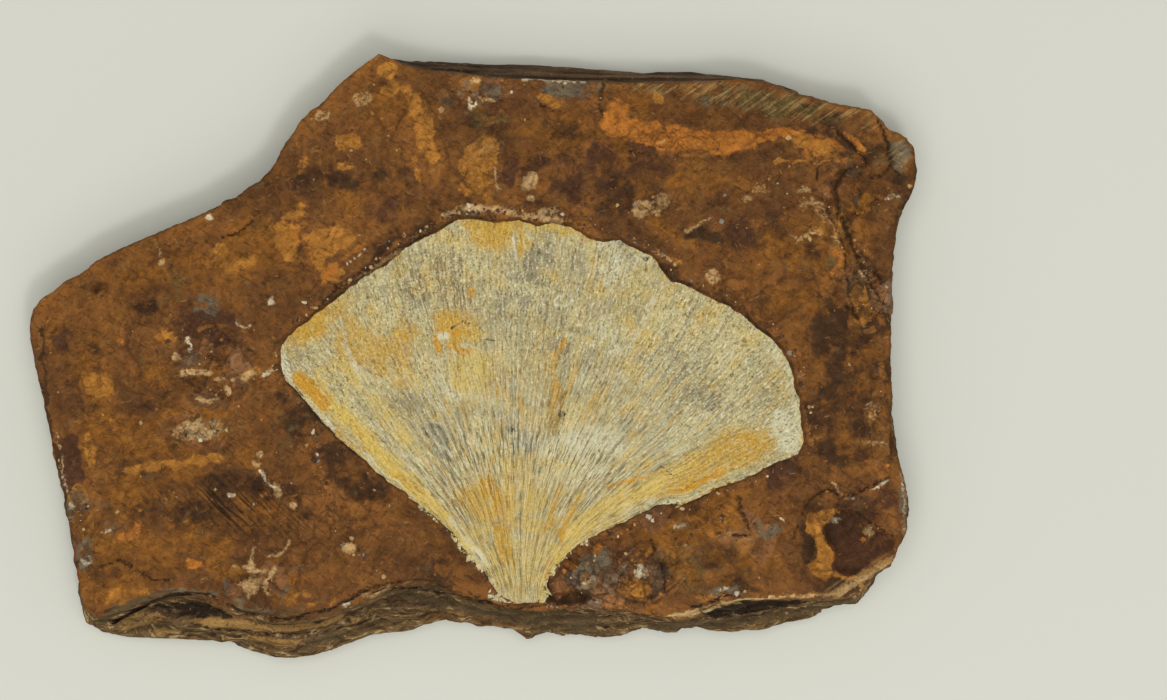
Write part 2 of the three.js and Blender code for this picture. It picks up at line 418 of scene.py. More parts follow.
@dataclass(frozen=True)
class Spot:
    """A rounded patch: its middle, half-length, half-width, turn in degrees, strength and lift."""

    x: float
    y: float
    long: float
    wide: float
    turn: float = 0.0
    strength: float = 1.0
    lift: float = 0.0

    def radius(self, points: Array) -> Array:
        """Gives how far each point lies from the middle.

        Args:
            points: N points.

        Returns:
            N distances, 1 at the patch's edge.
        """
        turn = math.radians(self.turn)
        east = points[:, 0] - self.x
        north = points[:, 1] - self.y
        along = (east * math.cos(turn) + north * math.sin(turn)) / self.long
        across = (north * math.cos(turn) - east * math.sin(turn)) / self.wide
        return np.hypot(along, across)

    def cover(self, points: Array, edge: float) -> Array:
        """Gives how fully the patch covers each point."""
        inside = (1.0 - self.radius(points)) * self.wide
        return self.strength * smooth(-edge / 2, edge / 2, inside)

    def rise(self, points: Array) -> Array:
        """Gives the height of the patch as a dome or a hollow."""
        return self.lift * np.sqrt(np.clip(1.0 - self.radius(points) ** 2, 0.0, 1.0))


@dataclass(frozen=True)
class Stroke:
    """A line along a route: its half-width at each end, strength and lift, or its step to the left side."""

    route: tuple[Place, ...]
    wide: float
    tip: float | None = None
    strength: float = 1.0
    lift: float = 0.0
    step: float = 0.0
    run: float = 2.0

    def nearest(self, points: Array) -> tuple[Array, Array, Array]:
        """Finds the nearest place on the route.

        Args:
            points: N points.

        Returns:
            The distance to it, the share of the route up to it, and 1 on the route's left or -1 on its right.
        """
        best = np.full(len(points), 1e9)
        share = np.zeros(len(points))
        side = np.ones(len(points))
        pieces = len(self.route) - 1
        for index in range(pieces):
            start = np.array(self.route[index])
            way = np.array(self.route[index + 1]) - start
            away = points[:, :2] - start
            along = np.clip(away @ way / (way @ way), 0.0, 1.0)
            gap = away - along[:, None] * way
            distance = np.hypot(gap[:, 0], gap[:, 1])
            closer = distance < best
            best = np.where(closer, distance, best)
            share = np.where(closer, (index + along) / pieces, share)
            turn = way[0] * away[:, 1] - way[1] * away[:, 0]
            side = np.where(closer, np.where(turn >= 0, 1.0, -1.0), side)
        return best, share, side

    def width(self, share: Array) -> Array:
        """Gives the half-width along the route."""
        tip = self.wide if self.tip is None else self.tip
        return self.wide + (tip - self.wide) * share

    def cover(self, points: Array, edge: float) -> Array:
        """Gives how fully the line covers each point.

        Args:
            points: N points.
            edge: the width of its soft edge.

        Returns:
            N shares, from 0 to the line's strength.
        """
        distance, share, _ = self.nearest(points)
        edge = min(edge, 2 * self.wide)
        return self.strength * smooth(-edge / 2, edge / 2, self.width(share) - distance)

    def rise(self, points: Array) -> Array:
        """Gives the line's ridge or groove, and the ledge on its left, which fades over its run.

        Args:
            points: N points.

        Returns:
            N heights.
        """
        distance, share, side = self.nearest(points)
        groove = self.lift * np.clip(1.0 - distance / self.width(share), 0.0, 1.0)
        ends = smooth(0.0, 0.15, share) * smooth(1.0, 0.85, share)
        ledge = self.step * np.where(side > 0, 1.0, 0.0) * np.exp(-distance / self.run) * ends
        return groove + ledge


@dataclass(frozen=True)
class Patch:
    """An angular patch: its corners in order, strength and lift, and how far in it takes to rise."""

    corners: tuple[Place, ...]
    strength: float = 1.0
    lift: float = 0.0
    run: float = 0.4

    def depth(self, points: Array) -> Array:
        """Gives how far inside its edge each point lies, negative outside."""
        distance = Stroke((*self.corners, self.corners[0]), 1.0).nearest(points)[0]
        return np.where(inside(np.array(self.corners), points), distance, -distance)

    def cover(self, points: Array, edge: float) -> Array:
        """Gives how fully the patch covers each point."""
        return self.strength * smooth(-edge / 2, edge / 2, self.depth(points))

    def rise(self, points: Array) -> Array:
        """Gives the height of the patch as a step up or down from its surroundings."""
        return self.lift * smooth(0.0, self.run, self.depth(points))


Mark = Spot | Stroke | Patch


def marks(table: str) -> tuple[Mark, ...]:
    """Reads marks that are written one after another, in millimetres.

    Args:
        table: the marks, with semicolons between them: "x,y" and the other values of a Spot, or
            "line x,y x,y" or "patch x,y x,y x,y", a bar, and the other values of a Stroke or a Patch.

    Returns:
        The marks.
    """
    kinds = {"line": Stroke, "patch": Patch}
    read = []
    for entry in table.split(";"):
        words = entry.replace("|", " ").split()
        places = [tuple(float(part) for part in word.split(",")) for word in words if "," in word]
        values = [float(word) for word in words if "," not in word and word not in kinds]
        kind = kinds.get(words[0])
        read.append(kind(tuple(places), *values) if kind else Spot(*places[0], *values))
    return tuple(read)


def covered(group: Iterable[Mark], points: Array, edge: float) -> Array:
    """Gives how fully any of the marks covers each point.

    Args:
        group: the marks.
        points: N points.
        edge: the width of their soft edges.

    Returns:
        N shares, from 0 to 1.
    """
    total = np.zeros(len(points))
    for mark in group:
        total = np.maximum(total, mark.cover(points, edge))
    return total


def risen(group: Iterable[Mark], points: Array) -> Array:
    """Sums the heights of the marks.

    Args:
        group: the marks.
        points: N points.

    Returns:
        N heights.
    """
    total = np.zeros(len(points))
    for mark in group:
        if mark.lift or getattr(mark, "step", 0.0):
            total += mark.rise(points)
    return total


# ---- Meshes ----


class FrameRings:
    """The rings of points that a solid of the frame is built from, from its top point outwards and down."""

    def __init__(self, node: Piece) -> None:
        """Reads the rings.

        Args:
            node: the frame's solid.
        """
        mesh = node.data
        flat = np.empty(len(mesh.vertices) * 3, np.float32)
        mesh.vertices.foreach_get("co", flat)
        corners = np.empty(len(mesh.loops), np.int32)
        mesh.loops.foreach_get("vertex_index", corners)
        points, same = np.unique(flat.reshape(-1, 3).round(8), axis=0, return_inverse=True)
        points = points / MM
        faces = same.reshape(-1)[corners].reshape(-1, 3)
        edges = np.concatenate([faces[:, [0, 1]], faces[:, [1, 2]], faces[:, [2, 0]]])
        spokes = np.bincount(edges.reshape(-1), minlength=len(points))
        ends = np.argsort(spokes)[-2:]
        top = ends[np.argmax(points[ends, 2])]
        self.hub = points[top, :2]
        self.rings = self._layers(points, edges, top)

    def _layers(self, points: Array, edges: Array, top: int) -> list[Array]:
        """Walks from the top point over the faces, a ring at a time.

        Args:
            points: the solid's points.
            edges: the pairs of points that its faces join.
            top: the number of the top point.

        Returns:
            The rings of points, each in order of direction from the hub.
        """
        seen = np.zeros(len(points), bool)
        front = np.zeros(len(points), bool)
        front[top] = True
        rings = []
        while front.any():
            seen |= front
            reached = np.zeros(len(points), bool)
            reached[edges[front[edges[:, 0]], 1]] = True
            reached[edges[front[edges[:, 1]], 0]] = True
            front = reached & ~seen
            ring = points[front]
            if len(ring) > 1:
                away = ring[:, :2] - self.hub
                rings.append(ring[np.argsort(np.arctan2(away[:, 1], away[:, 0]))])
        return rings


class StarRing:
    """A closed ring of points round a hub, which each direction from the hub crosses once."""

    def __init__(self, points: Array, hub: Array) -> None:
        """Takes the ring's points.

        Args:
            points: the points, in order of their directions from the hub.
            hub: the hub.
        """
        away = points[:, :2] - hub
        self.hub = hub
        self.points = points
        self.angles = np.arctan2(away[:, 1], away[:, 0])

    def at(self, angles: Array) -> Array:
        """Gives the points where directions from the hub cross the ring.

        Args:
            angles: N directions, in radians from -pi to pi.

        Returns:
            N points, with three coordinates.
        """
        after = np.searchsorted(self.angles, angles) % len(self.points)
        start = self.points[after - 1]
        way = self.points[after] - start
        east, north = np.cos(angles), np.sin(angles)
        away = start[:, :2] - self.hub
        share = (east * away[:, 1] - north * away[:, 0]) / (north * way[:, 0] - east * way[:, 1])
        return start + np.clip(share, 0.0, 1.0)[:, None] * way

    def reach(self, angles: Array) -> Array:
        """Gives the distance from the hub to the ring in each direction."""
        return np.linalg.norm(self.at(angles)[:, :2] - self.hub, axis=1)


def inside(loop: Array, points: Array) -> Array:
    """Tells which points lie inside a closed loop.

    Args:
        loop: the loop's points.
        points: N points.

    Returns:
        N truths.
    """
    ends = np.roll(loop, -1, axis=0)
    east, north = points[:, :1], points[:, 1:2]
    spans = (loop[:, 1] > north) != (ends[:, 1] > north)
    slope = (ends[:, 0] - loop[:, 0]) / np.where(ends[:, 1] == loop[:, 1], 1e-12, ends[:, 1] - loop[:, 1])
    crossed = spans & (east < loop[:, 0] + slope * (north - loop[:, 1]))
    return crossed.sum(axis=1) % 2 == 1


def triangles_between(loops: Sequence[Array], inner: Array) -> Array:
    """Fills the region between closed loops with triangles.

    Args:
        loops: the loops' points, in the plane; a second loop bounds a hole.
        inner: points inside the region.

    Returns:
        Triples of numbers of points, counted over the loops and then the inner points, facing up.
    """
    points = np.concatenate([ring[:, :2] for ring in (*loops, inner)])
    edges = []
    start = 0
    for loop in loops:
        count = len(loop)
        edges += [(start + i, start + (i + 1) % count) for i in range(count)]
        start += count
    made = delaunay_2d_cdt([Vector(point) for point in points], edges, [], 0, 1e-6, True)
    origin = np.array([given[0] for given in made[3]])
    triangles = origin[np.array(made[2])]
    on_loops = (triangles < start).all(axis=1)
    middles = points[triangles[on_loops]].mean(axis=1)
    within = sum(inside(loop[:, :2], middles).astype(int) for loop in loops) % 2 == 1
    keep = ~on_loops
    keep[np.flatnonzero(on_loops)[within]] = True
    triangles = triangles[keep]
    first, second, third = (points[triangles[:, corner]] for corner in range(3))
    ahead, beside = second - first, third - first
    down = ahead[:, 0] * beside[:, 1] - ahead[:, 1] * beside[:, 0] < 0
    triangles[down] = triangles[down][:, ::-1]
    return triangles


def strip(upper: Array, lower: Array) -> Array:
    """Joins two closed rows of as many points with triangles.

    Args:
        upper: the numbers of the upper row's points, anticlockwise seen from above.
        lower: those of the lower or outer row.

    Returns:
        Triples of numbers, facing out.
    """
    next_upper, next_lower = np.roll(upper, -1), np.roll(lower, -1)
    first = np.stack([upper, lower, next_lower], axis=1)
    second = np.stack([upper, next_lower, next_upper], axis=1)
    return np.concatenate([first, second])


def made_piece(name: str, points: Array, faces: Sequence[Sequence[int]]) -> Piece:
    """Makes a mesh object at the origin.

    Args:
        name: its name.
        points: its points, in millimetres.
        faces: the numbers of each face's points.

    Returns:
        The object, with smooth faces.
    """
    mesh = bpy.data.meshes.new(name)
    mesh.from_pydata((points * MM).tolist(), [], faces)
    mesh.polygons.foreach_set("use_smooth", np.ones(len(mesh.polygons), bool))
    mesh.update()
    piece = bpy.data.objects.new(name, mesh)
    bpy.context.scene.collection.objects.link(piece)
    return piece


def bulge(points: Array, faces: Array, rounds: int) -> Array:
    """Gives how far each point of a closed mesh stands out from its surroundings.

    Args:
        points: the mesh's points.
        faces: its triangles.
        rounds: how many times the surroundings are averaged, each time over a wider area.

    Returns:
        The heights above the averaged surface, negative in hollows.
    """
    near = faces.ravel()
    far = np.roll(faces, -1, axis=1).ravel()
    count = len(points)
    spokes = np.maximum(np.bincount(near, minlength=count), 1)
    mean = points
    for _ in range(rounds):
        mean = np.stack([np.bincount(near, mean[far, axis], count) / spokes for axis in range(3)], axis=1)
    first, second, third = (points[faces[:, corner]] for corner in range(3))
    facing = np.cross(second - first, third - first)
    normal = np.stack([
        sum(np.bincount(faces[:, corner], facing[:, axis], count) for corner in range(3)) for axis in range(3)
    ], axis=1)
    normal /= np.maximum(np.linalg.norm(normal, axis=1, keepdims=True), 1e-9)
    return ((points - mean) * normal).sum(axis=1)


def write_channels(piece: Piece, name: str, channels: Sequence[Array]) -> None:
    """Stores four numbers for each point of a piece, for its material to read."""
    held = piece.data.attributes.new(name, "FLOAT_COLOR", "POINT")
    held.data.foreach_set("color", np.stack(channels, axis=1).astype(np.float32).reshape(-1))


# ---- The rock's marks, in the frame's plan: X to the leaf's right, Y to its far margin ----


class Stain(Enum):
    """What colours the rock: each value is the channel that holds its cover."""

    RUST = 0
    OCHRE = 1
    ORANGE = 2
    CREAM = 3
    UMBER = 4
    PURPLE = 5
    GREY = 6
    OLIVE = 7
    CRACK = 8
    WHITE = 9
    STRIATED = 10
    SCRATCHED = 11


Wash = tuple[Stain, Colour, float, float]


# Broad orange-brown glows.
RUST_GLOWS = marks("""
    -37.1,-23 13 5.5 10 .5; -40.9,-16.7 8 5 10 .6; 20.9,26.2 3 8 0 .6; -43.4,-1 5 3 0 .6;
    -50.3,3.5 5.3 3 30 .6; -47.8,-2.6 3.3 3 0 .8; -40.9,-9.4 9.1 3.8 10 .9; -27.6,13.5 7.6 4 30 .9;
    -40.9,10.4 7.6 1.8 30 .6; -12.5,33.7 5.8 3.8 -40 .6; -21.9,29.9 5 3.3 60 .5; -15.4,18 5.3 2 35 .5;
    15.9,28.7 5.3 2.5 0 .7; 10.8,28 5 1.8 0 .5; 28.5,22.4 5.8 2.8 -10 .8; 26,14.2 5 1.8 -35 .7;
    41.1,13.5 6.3 5 0 .5; 50.3,14.8 2.5 4.5 10 .5; 41.1,7.2 5 3.8 -40 .6; 47.4,-5.4 5 8.8 0 .5;
    31.3,-19.5 3.3 3 0 .9; 25,-23.7 5.8 4.3 0 .8; 36.7,-25.5 6.3 2.8 10 .7; 18.4,-30 5 2.8 10 .8;
    -44.4,-29.6 5.5 2.1 15 .9; -28.2,-27.4 7.6 3.3 0 .4; -6.8,-23.7 7.6 2.8 0 .3; -28.2,-13.2 3.3 2.5 0 .6;
    -23.2,-9.2 2.8 2.3 0 .3
""")
OCHRE_PATCHES = marks("""
    patch -21.9,15.4 -20.2,16 -18.2,15.8 -17.1,16.9 -15.2,16 -14.7,15.2 -15.8,13.8 -19.3,11.9 -20.4,12.5;
    patch -24.1,18.2 -22.3,16.1 -22.1,13.8 -22.8,12.1 -24.1,11.9;
    patch -19.2,11.1 -17.1,11.7 -16,10.8 -19.1,8.8 | .9; patch 42.1,-19.3 45.5,-19.2 44.2,-21.1 44.2,-23.4
    45.2,-24.2 45.3,-26.8 46.5,-27.5 48.4,-27.8 46.8,-28.1 43.4,-27.7 42.5,-26.8 42.2,-25.5 42.9,-25.1
    42.7,-22.6 42.2,-21.7; patch 20.2,-27.9 21.6,-28.4 22.2,-29.3 21.2,-30 19.6,-29.8 | 1.6;
    patch 47.2,18.3 48.4,20.4 51.7,20.6 48.9,17.8 | .45; -23.7,14.8 1.3 2.8 10 .8; -22.8,18.3 1.8 1 20 .6;
    -31.8,13.3 1 1.1 0 .8; -29,12 2.8 .9 10 .5; line -19.7,12 -18.2,10 -16.6,9 | .6 .25 .7;
    -21.5,24.5 1.1 .6 55; -16.3,24.1 .8 .5 -10; -15.6,27 1.8 1.3 -10 .7; -11.1,36.2 1.4 1 0 .9;
    -10.5,34 1.6 1.1 40 .8; -39,2.6 1.3 .8 0 .8; -47.4,-3.5 1.9 1.8 0 .8; -28.2,-2.3 1.5 .8 15 .5;
    line -8.4,33.7 -6.4,29.7 -6.2,27 | .8 1; line -6.3,29.3 -5.2,25.3 | 1.3 .63;
    line -7.2,24.9 -7.3,23.4 -6.8,22.2 | .28 .23 .9; .5,24.9 3.1 2.1 40; .3,21.7 2.3 1.3 10;
    1.8,20.2 .9 1.1 0 .9; 9.5,32.3 1.5 .8 -10 .7; line -43.5,-14.1 -32.3,-12.9 | .6 .63 .95;
    -48.4,-11.9 .6 2.8 5 .5; 43.6,26.7 2.8 1 -10 .9; line 38.1,24.7 46.2,24.6 | .19 .25 .95;
    48.2,27 .6 1.4 35 .8; 43,17.1 1.3 1.8 30 .5; 45.9,15.8 .8 2.8 10 .5; 25.5,11.9 .8 .5 -30;
    23.1,32.6 .5 .9 15; line 28.5,-30 36.1,-30.6 44.9,-30.2 | .38 .25 .4; -44.9,-30.1 3.8 .9 15 .6;
    -21.9,-30.6 5 1 0 .4
""")
ORANGE_BANDS = marks("""
    line -18.7,10.9 -16.3,12.2 -13.4,14.7 | .44 .25 .9;
    patch -19.2,10.4 -17.9,11.5 -16.1,12 -17.4,10.8 -18.7,8.8 | .8;
    patch 14.5,-24.5 15.5,-23.5 16.5,-23.9 15.3,-25.3;
    patch 40.6,28.2 43,28.7 45.5,27.8 47.2,25.6 46.8,24.1 41.1,25.3 40.2,26.4 | .34;
    line 46.9,28.3 48.8,26.2 | .38 .25 .7; line 45.1,13.7 46.4,12.7 45,10.5 | .38 .25 .9;
    17.9,30.9 1.5 1.6 0 .9; line 17.4,29.2 24.5,27.8 | 1.4 1.5 .9; line 22.8,27.9 31.7,26.9 | 1.6 1.3;
    line 30.4,27.2 35.1,27.5 38.3,28.5 41.9,28.5 | 1.3 .25; line -44.4,-22.6 -42.7,-22.4 -42.3,-21 | .45 .38;
    -35.4,-26.1 1.1 .8 -10; -44.4,2.8 .6 1.6 0 .6; -21.9,15.8 1.3 2 20 .5
""")
# Dark brown zones. Two are painted shade: the patch on the right edge from x 53 to 56, y 17 to 27, the shadow
# beside and below the raised block there, and the line along the left rim near x -54.
DARK_ZONES = marks("""
    line -54.7,3.5 -54.2,-4.7 -50.9,-25.8 | .13 .63; line -17.1,8.6 -9.3,15.1 -5.5,16.8 | .5 .38 .95;
    10.8,26.2 4.3 4.3 0 .4; patch 45.2,18.9 47.2,17.9 47.4,15.9 48.2,13.5 50.9,10 51.4,6.8 50.4,7.4 47.1,10.9
    46.2,15.7 45.2,17.7 | .62;
    patch 45.9,24.9 48.9,25.1 51.7,22.9 50.9,21.6 48.9,22.6 45.6,21.1 44.6,22.4 | .6;
    patch 41.4,32.2 43.9,32 43.6,31.2 40.7,30.8;
    patch 55.6,26.9 56.1,24.9 56,22.1 55.2,19.3 53.8,17.3 53.3,17.6 55.1,22.4 55.1,25.1;
    patch -22.3,14.1 -21.5,13.8 -20.4,11.7 -19.3,11.9 -19.1,10.2 -20.6,9.7 -22.3,9.9 -22.8,11 | .55;
    46.8,-2.8 5.3 12 0 .6; -16.3,22.4 8.3 1.1 5 .6; -21.3,22.9 3.3 1 10 .6; -47.4,9 1.4 .8 20;
    -41.1,6.2 1.6 1.1 -5 .9; -53.2,-2.6 1.5 1.3 30 .6; -48.2,.9 2.1 .9 30 .6; -52,2.2 1.1 1.5 0 .5;
    -28.9,7.2 5 1.3 25 .25; -34.6,-18 9.1 3.1 10 .4; -26.4,-18.6 6.3 3.8 -20 .3; 44.9,26.2 4 3.5 0 .6;
    49.9,26.2 2.5 2.5 0 .5; 45.5,12.9 4 4 0 .4; line 51.7,9.8 52.2,-14.2 | .8 .8 .7; 43.1,-21.8 1.8 4.5 0 .7;
    46.2,-29.3 3 1 10 .8; 49.9,-18 3 3 0 .4; -4.3,-27.4 3 1.6 -20 .7; -21.9,-6.6 4.3 3.3 -40 .6;
    -16.9,-12.9 7.6 3 -40 .5; -27,-16 1.4 1; -10.6,14.8 5 .6 35 .6; 9,21.1 6.3 3.8 0 .3;
    15.9,21.1 7.6 3 -10 .5; 34.8,16.7 7.6 3 -25 .3; 29.8,15.2 3.8 1 -5 .8; 44.6,29.7 2 1.3 -30 .7;
    49.9,23.4 4.3 1.1 -10 .6; 53.5,18.3 1 3.8 -10 .3; 46.2,-20.5 2.5 2.8 0 .3; 41.9,-23.7 .9 3.5 0 .7;
    39.8,-14.2 3 1.8 -10 .6; 15.9,-26.6 2.1 1.5 -10 .6; 34,-29 1.9 .6 5 .9; 23.5,-27.4 .9 3.3 -10 .5;
    2.6,29.3 2.3 1.8 0 .3; 10.8,35.6 7.6 .8 -5 .4; line 20.9,12.5 33.4,6.1 38,1.6 | .6 .5 .6;
    -38.3,-10.4 1.1 1.6 -20 .5; -5.5,-18 5 2.5 -40 .3; 28.5,-25.5 2.5 1.8 0 .25
""")
PURPLE_ZONES = marks("""
    patch 45.5,-19.2 48.4,-19.4 49.6,-20.7 52.3,-22.3 53.9,-22.6 53.1,-24.2 51.6,-24.9 48.5,-27.7 46.5,-27.5
    45.3,-26.8 45.3,-24.2 44.2,-23.4 44.2,-21.1; -33,3 3.8 3.3 0 .9; -37.1,5.7 3 1.5 50 .4;
    -52,1.9 1.1 1.8 0 .7; -38.3,-5.4 5.5 1.4 10 .3; -50.9,-14.2 1.5 5 5 .8; 4.4,23 1 2.3 -10;
    10.8,22.4 5.8 3.3 0 .5; 18.4,24.3 7.6 2.8 0 .5; 36.1,14.8 5 2 -20 .4; 43.9,-15.7 1.5 1.3 0 .6;
    49.9,-18 3.8 2.8 -20 .5; 38.1,-15.5 2.8 1.8 -20 .7; 41.1,.3 1.8 3.8 0 .3; 2.6,34.3 3.8 1.8 0 .4;
    -9.3,19.8 3.8 1.8 30 .5; -27,-4.7 2 1.5 -20 .6
""")
GREY_ZONES = marks("""
    patch 13.4,-25.3 16.5,-23.7 17.5,-26.6 16.3,-26.8 14.9,-29.2 13.4,-29 12.8,-28; -33.3,6.6 1.9 1.8 0 .5;
    .8,33.7 3.3 1.3 0 .4; .1,18.5 1.5 .6 10 .9; 11.2,33.7 3 1 -10 .9; 14.9,34.5 2.3 .9 0 .6;
    53.5,25.6 1.4 2.1 5 .9; -49.2,-25 1.1 2.1 -5 .7; -50.9,-18.6 1 1.8 0 .6; -45.9,-21.4 1.5 1 20 .5;
    36.7,-21.8 2.3 1.1 0 .6; 54.2,-18 .6 4.3 0 .6; 31.8,-29.5 2.3 .9 5 .6; 31,32.5 3.8 .8 -5 .4;
    -42.1,-31.2 4.3 .6 15 .6; -36.1,-29.8 3.8 .5 0 .7; -26.7,-32 3.8 .8 -15 .5
""")
OLIVE_ZONES = marks("""
    37.3,31.8 6.6 1.6 -10 .8; 26,33.5 4.5 .9 -5 .5; 2.3,29.8 2.1 1.3 10 .6; -37.7,8.5 3.3 1.5 15 .4;
    -22.6,-9.4 3.8 2.5 0 .25; -34.6,-8.9 4 1.9 0 .4; 52.5,25.5 2 2.3 0 .5; 45.5,14.8 1 4.3 -10 .4;
    27.2,-27.4 2 3 30 .3; 48.7,30.9 3 1.3 -30 .4
""")
# Cream and beige flakes, shell-like lines and pebbles; those with a lift stand up from the face.
CREAM_FLAKES = marks("""
    patch 20.2,-26.4 21.4,-26.1 21.8,-27.4 21,-28 20.3,-27.4 | 1.5 .25;
    line -3.7,17.8 -.5,19.1 10.8,17.1 | .5 .5 .72 .15; line -16.3,9.3 -9.1,13.3 | .3 .3 .66 .1;
    line 47.4,17 48,14.5 48.6,13.1 49.8,11.3 | .11 .09 .7 .05;
    line 39.6,15.5 41.2,14.9 42.6,16.1 46.2,14.7 | .15 .1 .7 .1;
    line 48.7,11 49.7,9.1 51.2,7.5 | .15 .09 .75 .1;
    line 45.2,-15.9 45.9,-17 46.8,-17.8 47.7,-17.5 | .14 .11 .9 .15; -39.3,12 .6 .38 60 .8 .12;
    line -40.1,14.6 -39.5,13 | .2 .3 .6 .08; -19.4,30.8 .6 .5 0 .7 .1; -14.1,32.6 1.4 .9 0 .5 .1;
    line -20.4,30.2 -19.2,29.8 -18.4,30.4 -18.2,31.2 | .2 .15 .9 .08; 7.2,22.2 1.3 .8 50 1 .35;
    7.3,20 .5 .45 30 1 .25; .1,34.7 .6 .5 0 .7 .1; 1.8,32.6 1.1 .21 -5 1 .1;
    line 2.7,24.1 2.8,21.9 3.3,20.6 | .16 .13 .85 .1; 9,18.2 1.3 .6 20 .8 .15; 10.3,18.7 .5 .5 0 .9 .15;
    21.2,18.7 1.5 1.1 10 .58 .12; 23.7,19.8 1 1.1 0 .52 .12; 22.9,18.2 .6 .5 0 .6 .1;
    line 26.8,15.9 30,17.7 | .23 .13 .9 .12; 34.4,20 .9 .6 20 .6 .1; 36.1,21.1 1 .6 0 .4 .1;
    41.5,21 1 .44 10 .7 .1; line 41.1,19.2 43,19.5 44.4,18.3 43.9,16.8 | .33 .2 .6 .12;
    line 40.5,14.8 42.1,15.7 43.9,15.3 | .3 .18 .65 .12;
    line 42.6,20.2 43.4,18 45.3,16.7 45.6,15.1 | .28 .2 .55 .15;
    line 22.4,13.4 24.5,12.3 25.5,11.3 | .19 .15 .9 .1; 30,10.2 1.1 1 0 .6 .4; 33.1,9.1 1.5 1.1 10 0 .45;
    23.8,27.3 .8 .38 10 .6 .1; line -36.7,-2 -33.3,-2 | .45 .38 .95 .15; -37.6,-.1 .7 .5 0 .8 .12;
    -31.9,-2.8 .8 .32 10 .9 .12; line -34.6,-5.2 -33.5,-5.5 -32.5,-5 | .3 .18 .8 .12;
    -28.4,-2.3 1.1 .6 20 .8 .12; -25.3,-1.5 .5 .6 -20 .7 .1; -31.1,-4.1 .5 .6 20 .9 .12;
    -26.9,-12.2 .45 .45 0 1 .2; -27.6,-13.4 .6 .38 -20 .8 .15; -24.8,-16.7 .6 1.1 15 .7 .3;
    -22.7,-18.5 .5 .45 0 1 .25;
    line -39.2,-17 -38.6,-16.7 -37.6,-17.2 -37.2,-18 -37.8,-18.5 -38.7,-18 -39.2,-17.1 | .1 .1 .7 .06;
    line -27.7,-23.9 -28.4,-25.9 | .16 .2 .95 .12; line -30.3,-26.4 -26.4,-26.9 | .15 .23 .95 .12;
    patch -28.9,-27.2 -28.2,-25.2 -27.1,-26.9 -28,-27.7 | .75 .15;
    patch -29.9,-28.7 -28.2,-27.7 -26.7,-27.9 -27.5,-29.6 -28.5,-30.6 -28.8,-29.3 | .8 .2;
    line -23.3,-23 -24.1,-24.5 -24.7,-25 -26.2,-24.8 | .2 .13 .85 .12;
    line -25.3,-26.7 -25.7,-28.1 -26.5,-28.7 -26,-30 | .38 .33 .8 .15; -15.8,-23.9 1 .7 10 .8 .3;
    14.2,-28.1 .8 .6 0 .6 .2; 49.8,-22.1 .6 .8 10 .6 .15; line 46.2,-29.6 52.7,-25.5 | .6 .38 .75 .15;
    line 47.4,-30.6 51.2,-27.8 | .38 .32 .6 .1; line 24.2,-33 31.7,-31 37.6,-30.2 46.5,-30.1 | .28 .16 .85 .1;
    50.2,-6.6 1.1 1.5 0 .4 .1; 50.2,-10.8 1.3 .38 -10 .5 .1; -34.8,-9.2 3.5 1.5 5 .5 .1;
    -35.2,-34.2 1.8 .38 0 .5 .1; line -13.7,-30.2 -10.6,-29.3 -5.5,-29.1 | .44 .38 .6 .12
""")
# White crumbs and bits; the thin line on the right rim at x 54, y -14 to -22, is a painted highlight, a glint
# on the rim.
WHITE_CRUMBS_AND_GLINT = marks("""
    20.9,-27 .6 .8 10 1.3 .1; line -15.9,11.7 -14.6,12.7 -13.3,14.2 | .09 .08 .9 .1;
    line 5.9,35.2 14.1,34.7 | .16 .11 1 .15; -33.5,17.7 .6 .33 20 .8 .1; -25.6,6.9 .5 .6 -25 .8 .1;
    -36.1,2.2 .33 .5 10 .9 .1; -35.7,1.2 .32 .6 -20 .8 .1; line -29.8,4.3 -29.1,3.5 -28.2,4 | .15 .11 .8;
    -26.2,-2.1 .6 .33 30 .8 .1; line -27,-14.1 -25.9,-15.6 -24.8,-16.6 | .14 .11 .85 .08;
    -30.7,-17.3 .6 .25 -5 .8 .1; -46.3,-21.8 .8 .3 20 .6 .1;
    line -49.7,-25.5 -49.1,-26.3 -48.4,-25.8 -48.7,-25 | .19 .15 .7; -50.8,-18.7 .44 .5 0 .7 .1;
    line -52.6,-9.2 -51.4,-17.2 | .15 .2 .5; line -.8,32.5 -.3,31.2 .5,32.3 | .23 .18 .9 .1;
    52.8,20.4 1.1 .38 15 .5 .1; line 38.2,-19.9 39.3,-20.8 | .14 .11 .95;
    line 50.1,-16.5 52.2,-15.6 | .23 .15 .7 .1; line 50.2,-10.9 50.9,-10.5 52,-10.8 | .15 .13 .7;
    45.5,-20.4 1 .38 0 .5 .1; line 53.8,-14.2 54.2,-18 54,-21.8 | .15 .13 .5; 31.3,-29.2 .9 .3 10 .7 .1;
    26,-21.1 1 .38 10 .6 .1; 34.8,-22.8 1.8 .25 5 .3 .1; -16.1,-31.1 .5 .38 0 .8 .15;
    line 9,-31.3 12.1,-32.2 15.9,-32.1 | .18 .13 .5
""")
